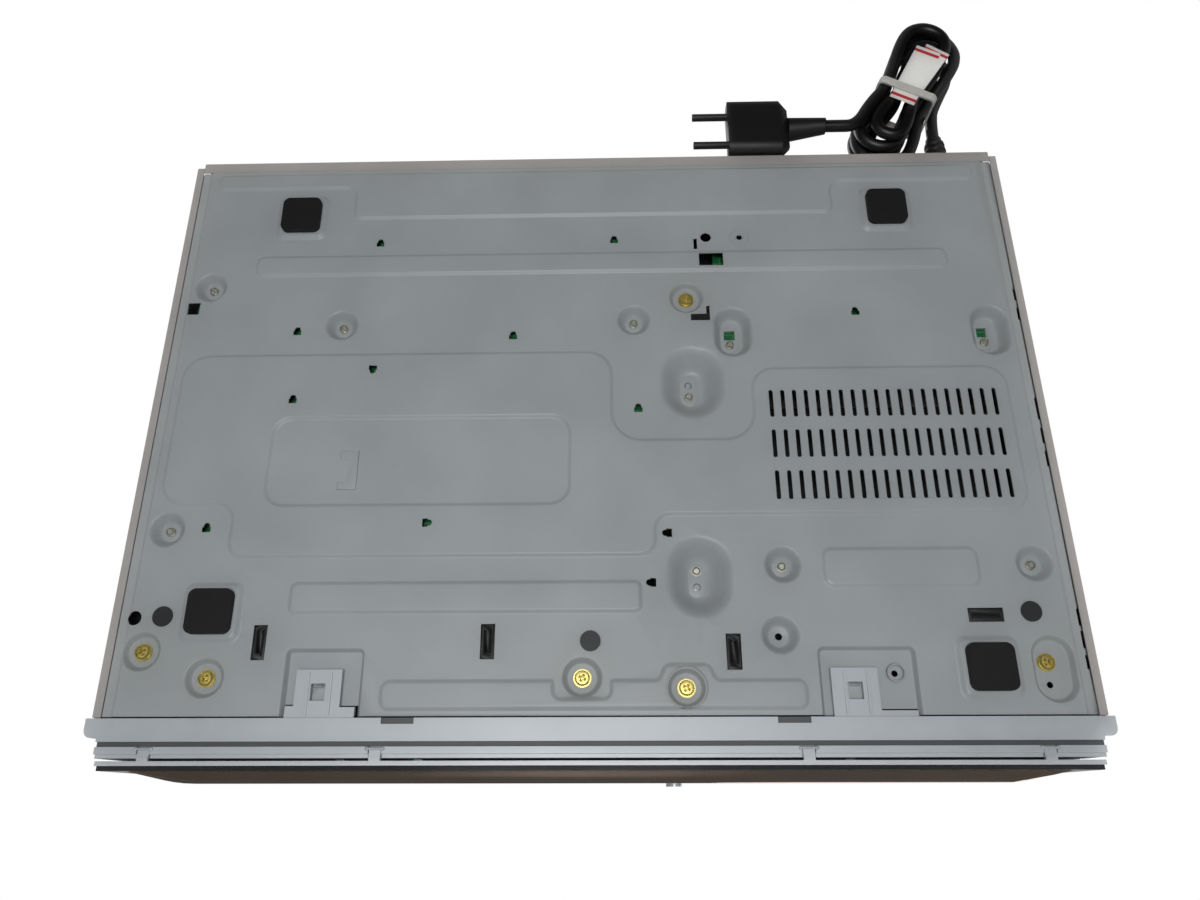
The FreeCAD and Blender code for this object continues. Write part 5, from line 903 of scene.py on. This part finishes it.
path = [Vector((-193, 180.1, 26.1)), Vector((-193, 196, 26.1)), hank_spot(46, -2, 3)]
path += turn_spots(hank_spot(RUN, -2, 3), hank_spot(RUN, 2, 3), ALONG)
for index, (column, first, last) in enumerate(RUNS):
    inward = index % 2 == 0
    near, far = (last, first) if inward else (first, last)
    layers = (far, near, near, near)
    run = [hank_spot(along, column, layer, drawn) for (along, drawn), layer in zip(DRAWN, layers)]
    path += run if inward else run[::-1]
    if index + 1 < len(RUNS):
        stop = 0 if inward else RUN
        way = ALONG * (-1 if inward else 1)
        beside = RUNS[index + 1][0]
        path += turn_spots(hank_spot(stop, column, last), hank_spot(stop, beside, last), way)
tail = hank_spot(0, 2, 0)
plug_mouth = Vector((tail.x + ACROSS.x * 18, tail.y + ACROSS.y * 18 - 18, tail.z))
elbow = Vector((tail.x + 5.1, plug_mouth.y, tail.z))
path += [elbow, plug_mouth, plug_mouth + Vector((LEAD_WIDE, 0, 0))]
print(len(path), "points along the lead")

# %% The lead as a spline
line = bpy.data.curves.new("lead", "CURVE")
line.dimensions = "3D"
strand = line.splines.new("NURBS")
strand.points.add(len(path) - 1)
for point, place in zip(strand.points, path):
    point.co = (*(place / 1000), 1)
strand.order_u = 3
strand.use_endpoint_u = True
strand.resolution_u = 6
line.bevel_depth = mm(LEAD_WIDE / 2)
line.bevel_resolution = 5
line.use_fill_caps = True
line.materials.append(finishes["lead_rubber"])
lead = bpy.data.objects.new("lead", line)
bpy.context.collection.objects.link(lead)
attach(lead, "case")
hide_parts("mains_lead", "lead_hank")
print("lead drawn")

# %% [markdown]
# The paper tag is one strip folded over on itself. It runs under the strap, its tail showing
# before the waist, and the upper leaf has slipped a little out of line. Each leaf is unwrapped
# along its length, so the printed edge lines sit near its ends.

# %% The folded tag
def leaf(start, stop, half, level, slip):
    """One leaf of the tag, a thin plate along the hank, turned by slip (radians) about its start."""
    base = HANK_NEAR + ALONG * start
    way = Matrix.Rotation(slip, 3, "Z") @ ALONG
    side = Matrix.Rotation(slip, 3, "Z") @ ACROSS
    long = stop - start
    rim = [(0, -half), (0, half), (long, half), (long, -half)]
    outline = [base + way * far + side * off for far, off in rim]
    piece = plate([(spot.x, spot.y) for spot in outline], level, level + 0.16, 0.03)
    sheet = piece.data.uv_layers.new(name="UVMap")
    for corner in piece.data.loops:
        spot = piece.data.vertices[corner.vertex_index].co * 1000 - base
        sheet.data[corner.index].uv = (spot.dot(way) / long, spot.dot(side) / (2 * half) + 0.5)
    return piece


TAG_HALF = 7
lower_leaf = leaf(WAIST - 9, WAIST + 32, TAG_HALF, 1.16, 0)
upper_leaf = leaf(WAIST - 3, WAIST + 35, TAG_HALF, 1.33, 0.12)
tag = finish_piece(join_all([lower_leaf, upper_leaf]), "paper_tag", "tag_paper")
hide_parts("lead_tag")
print("tag laid under the strap")
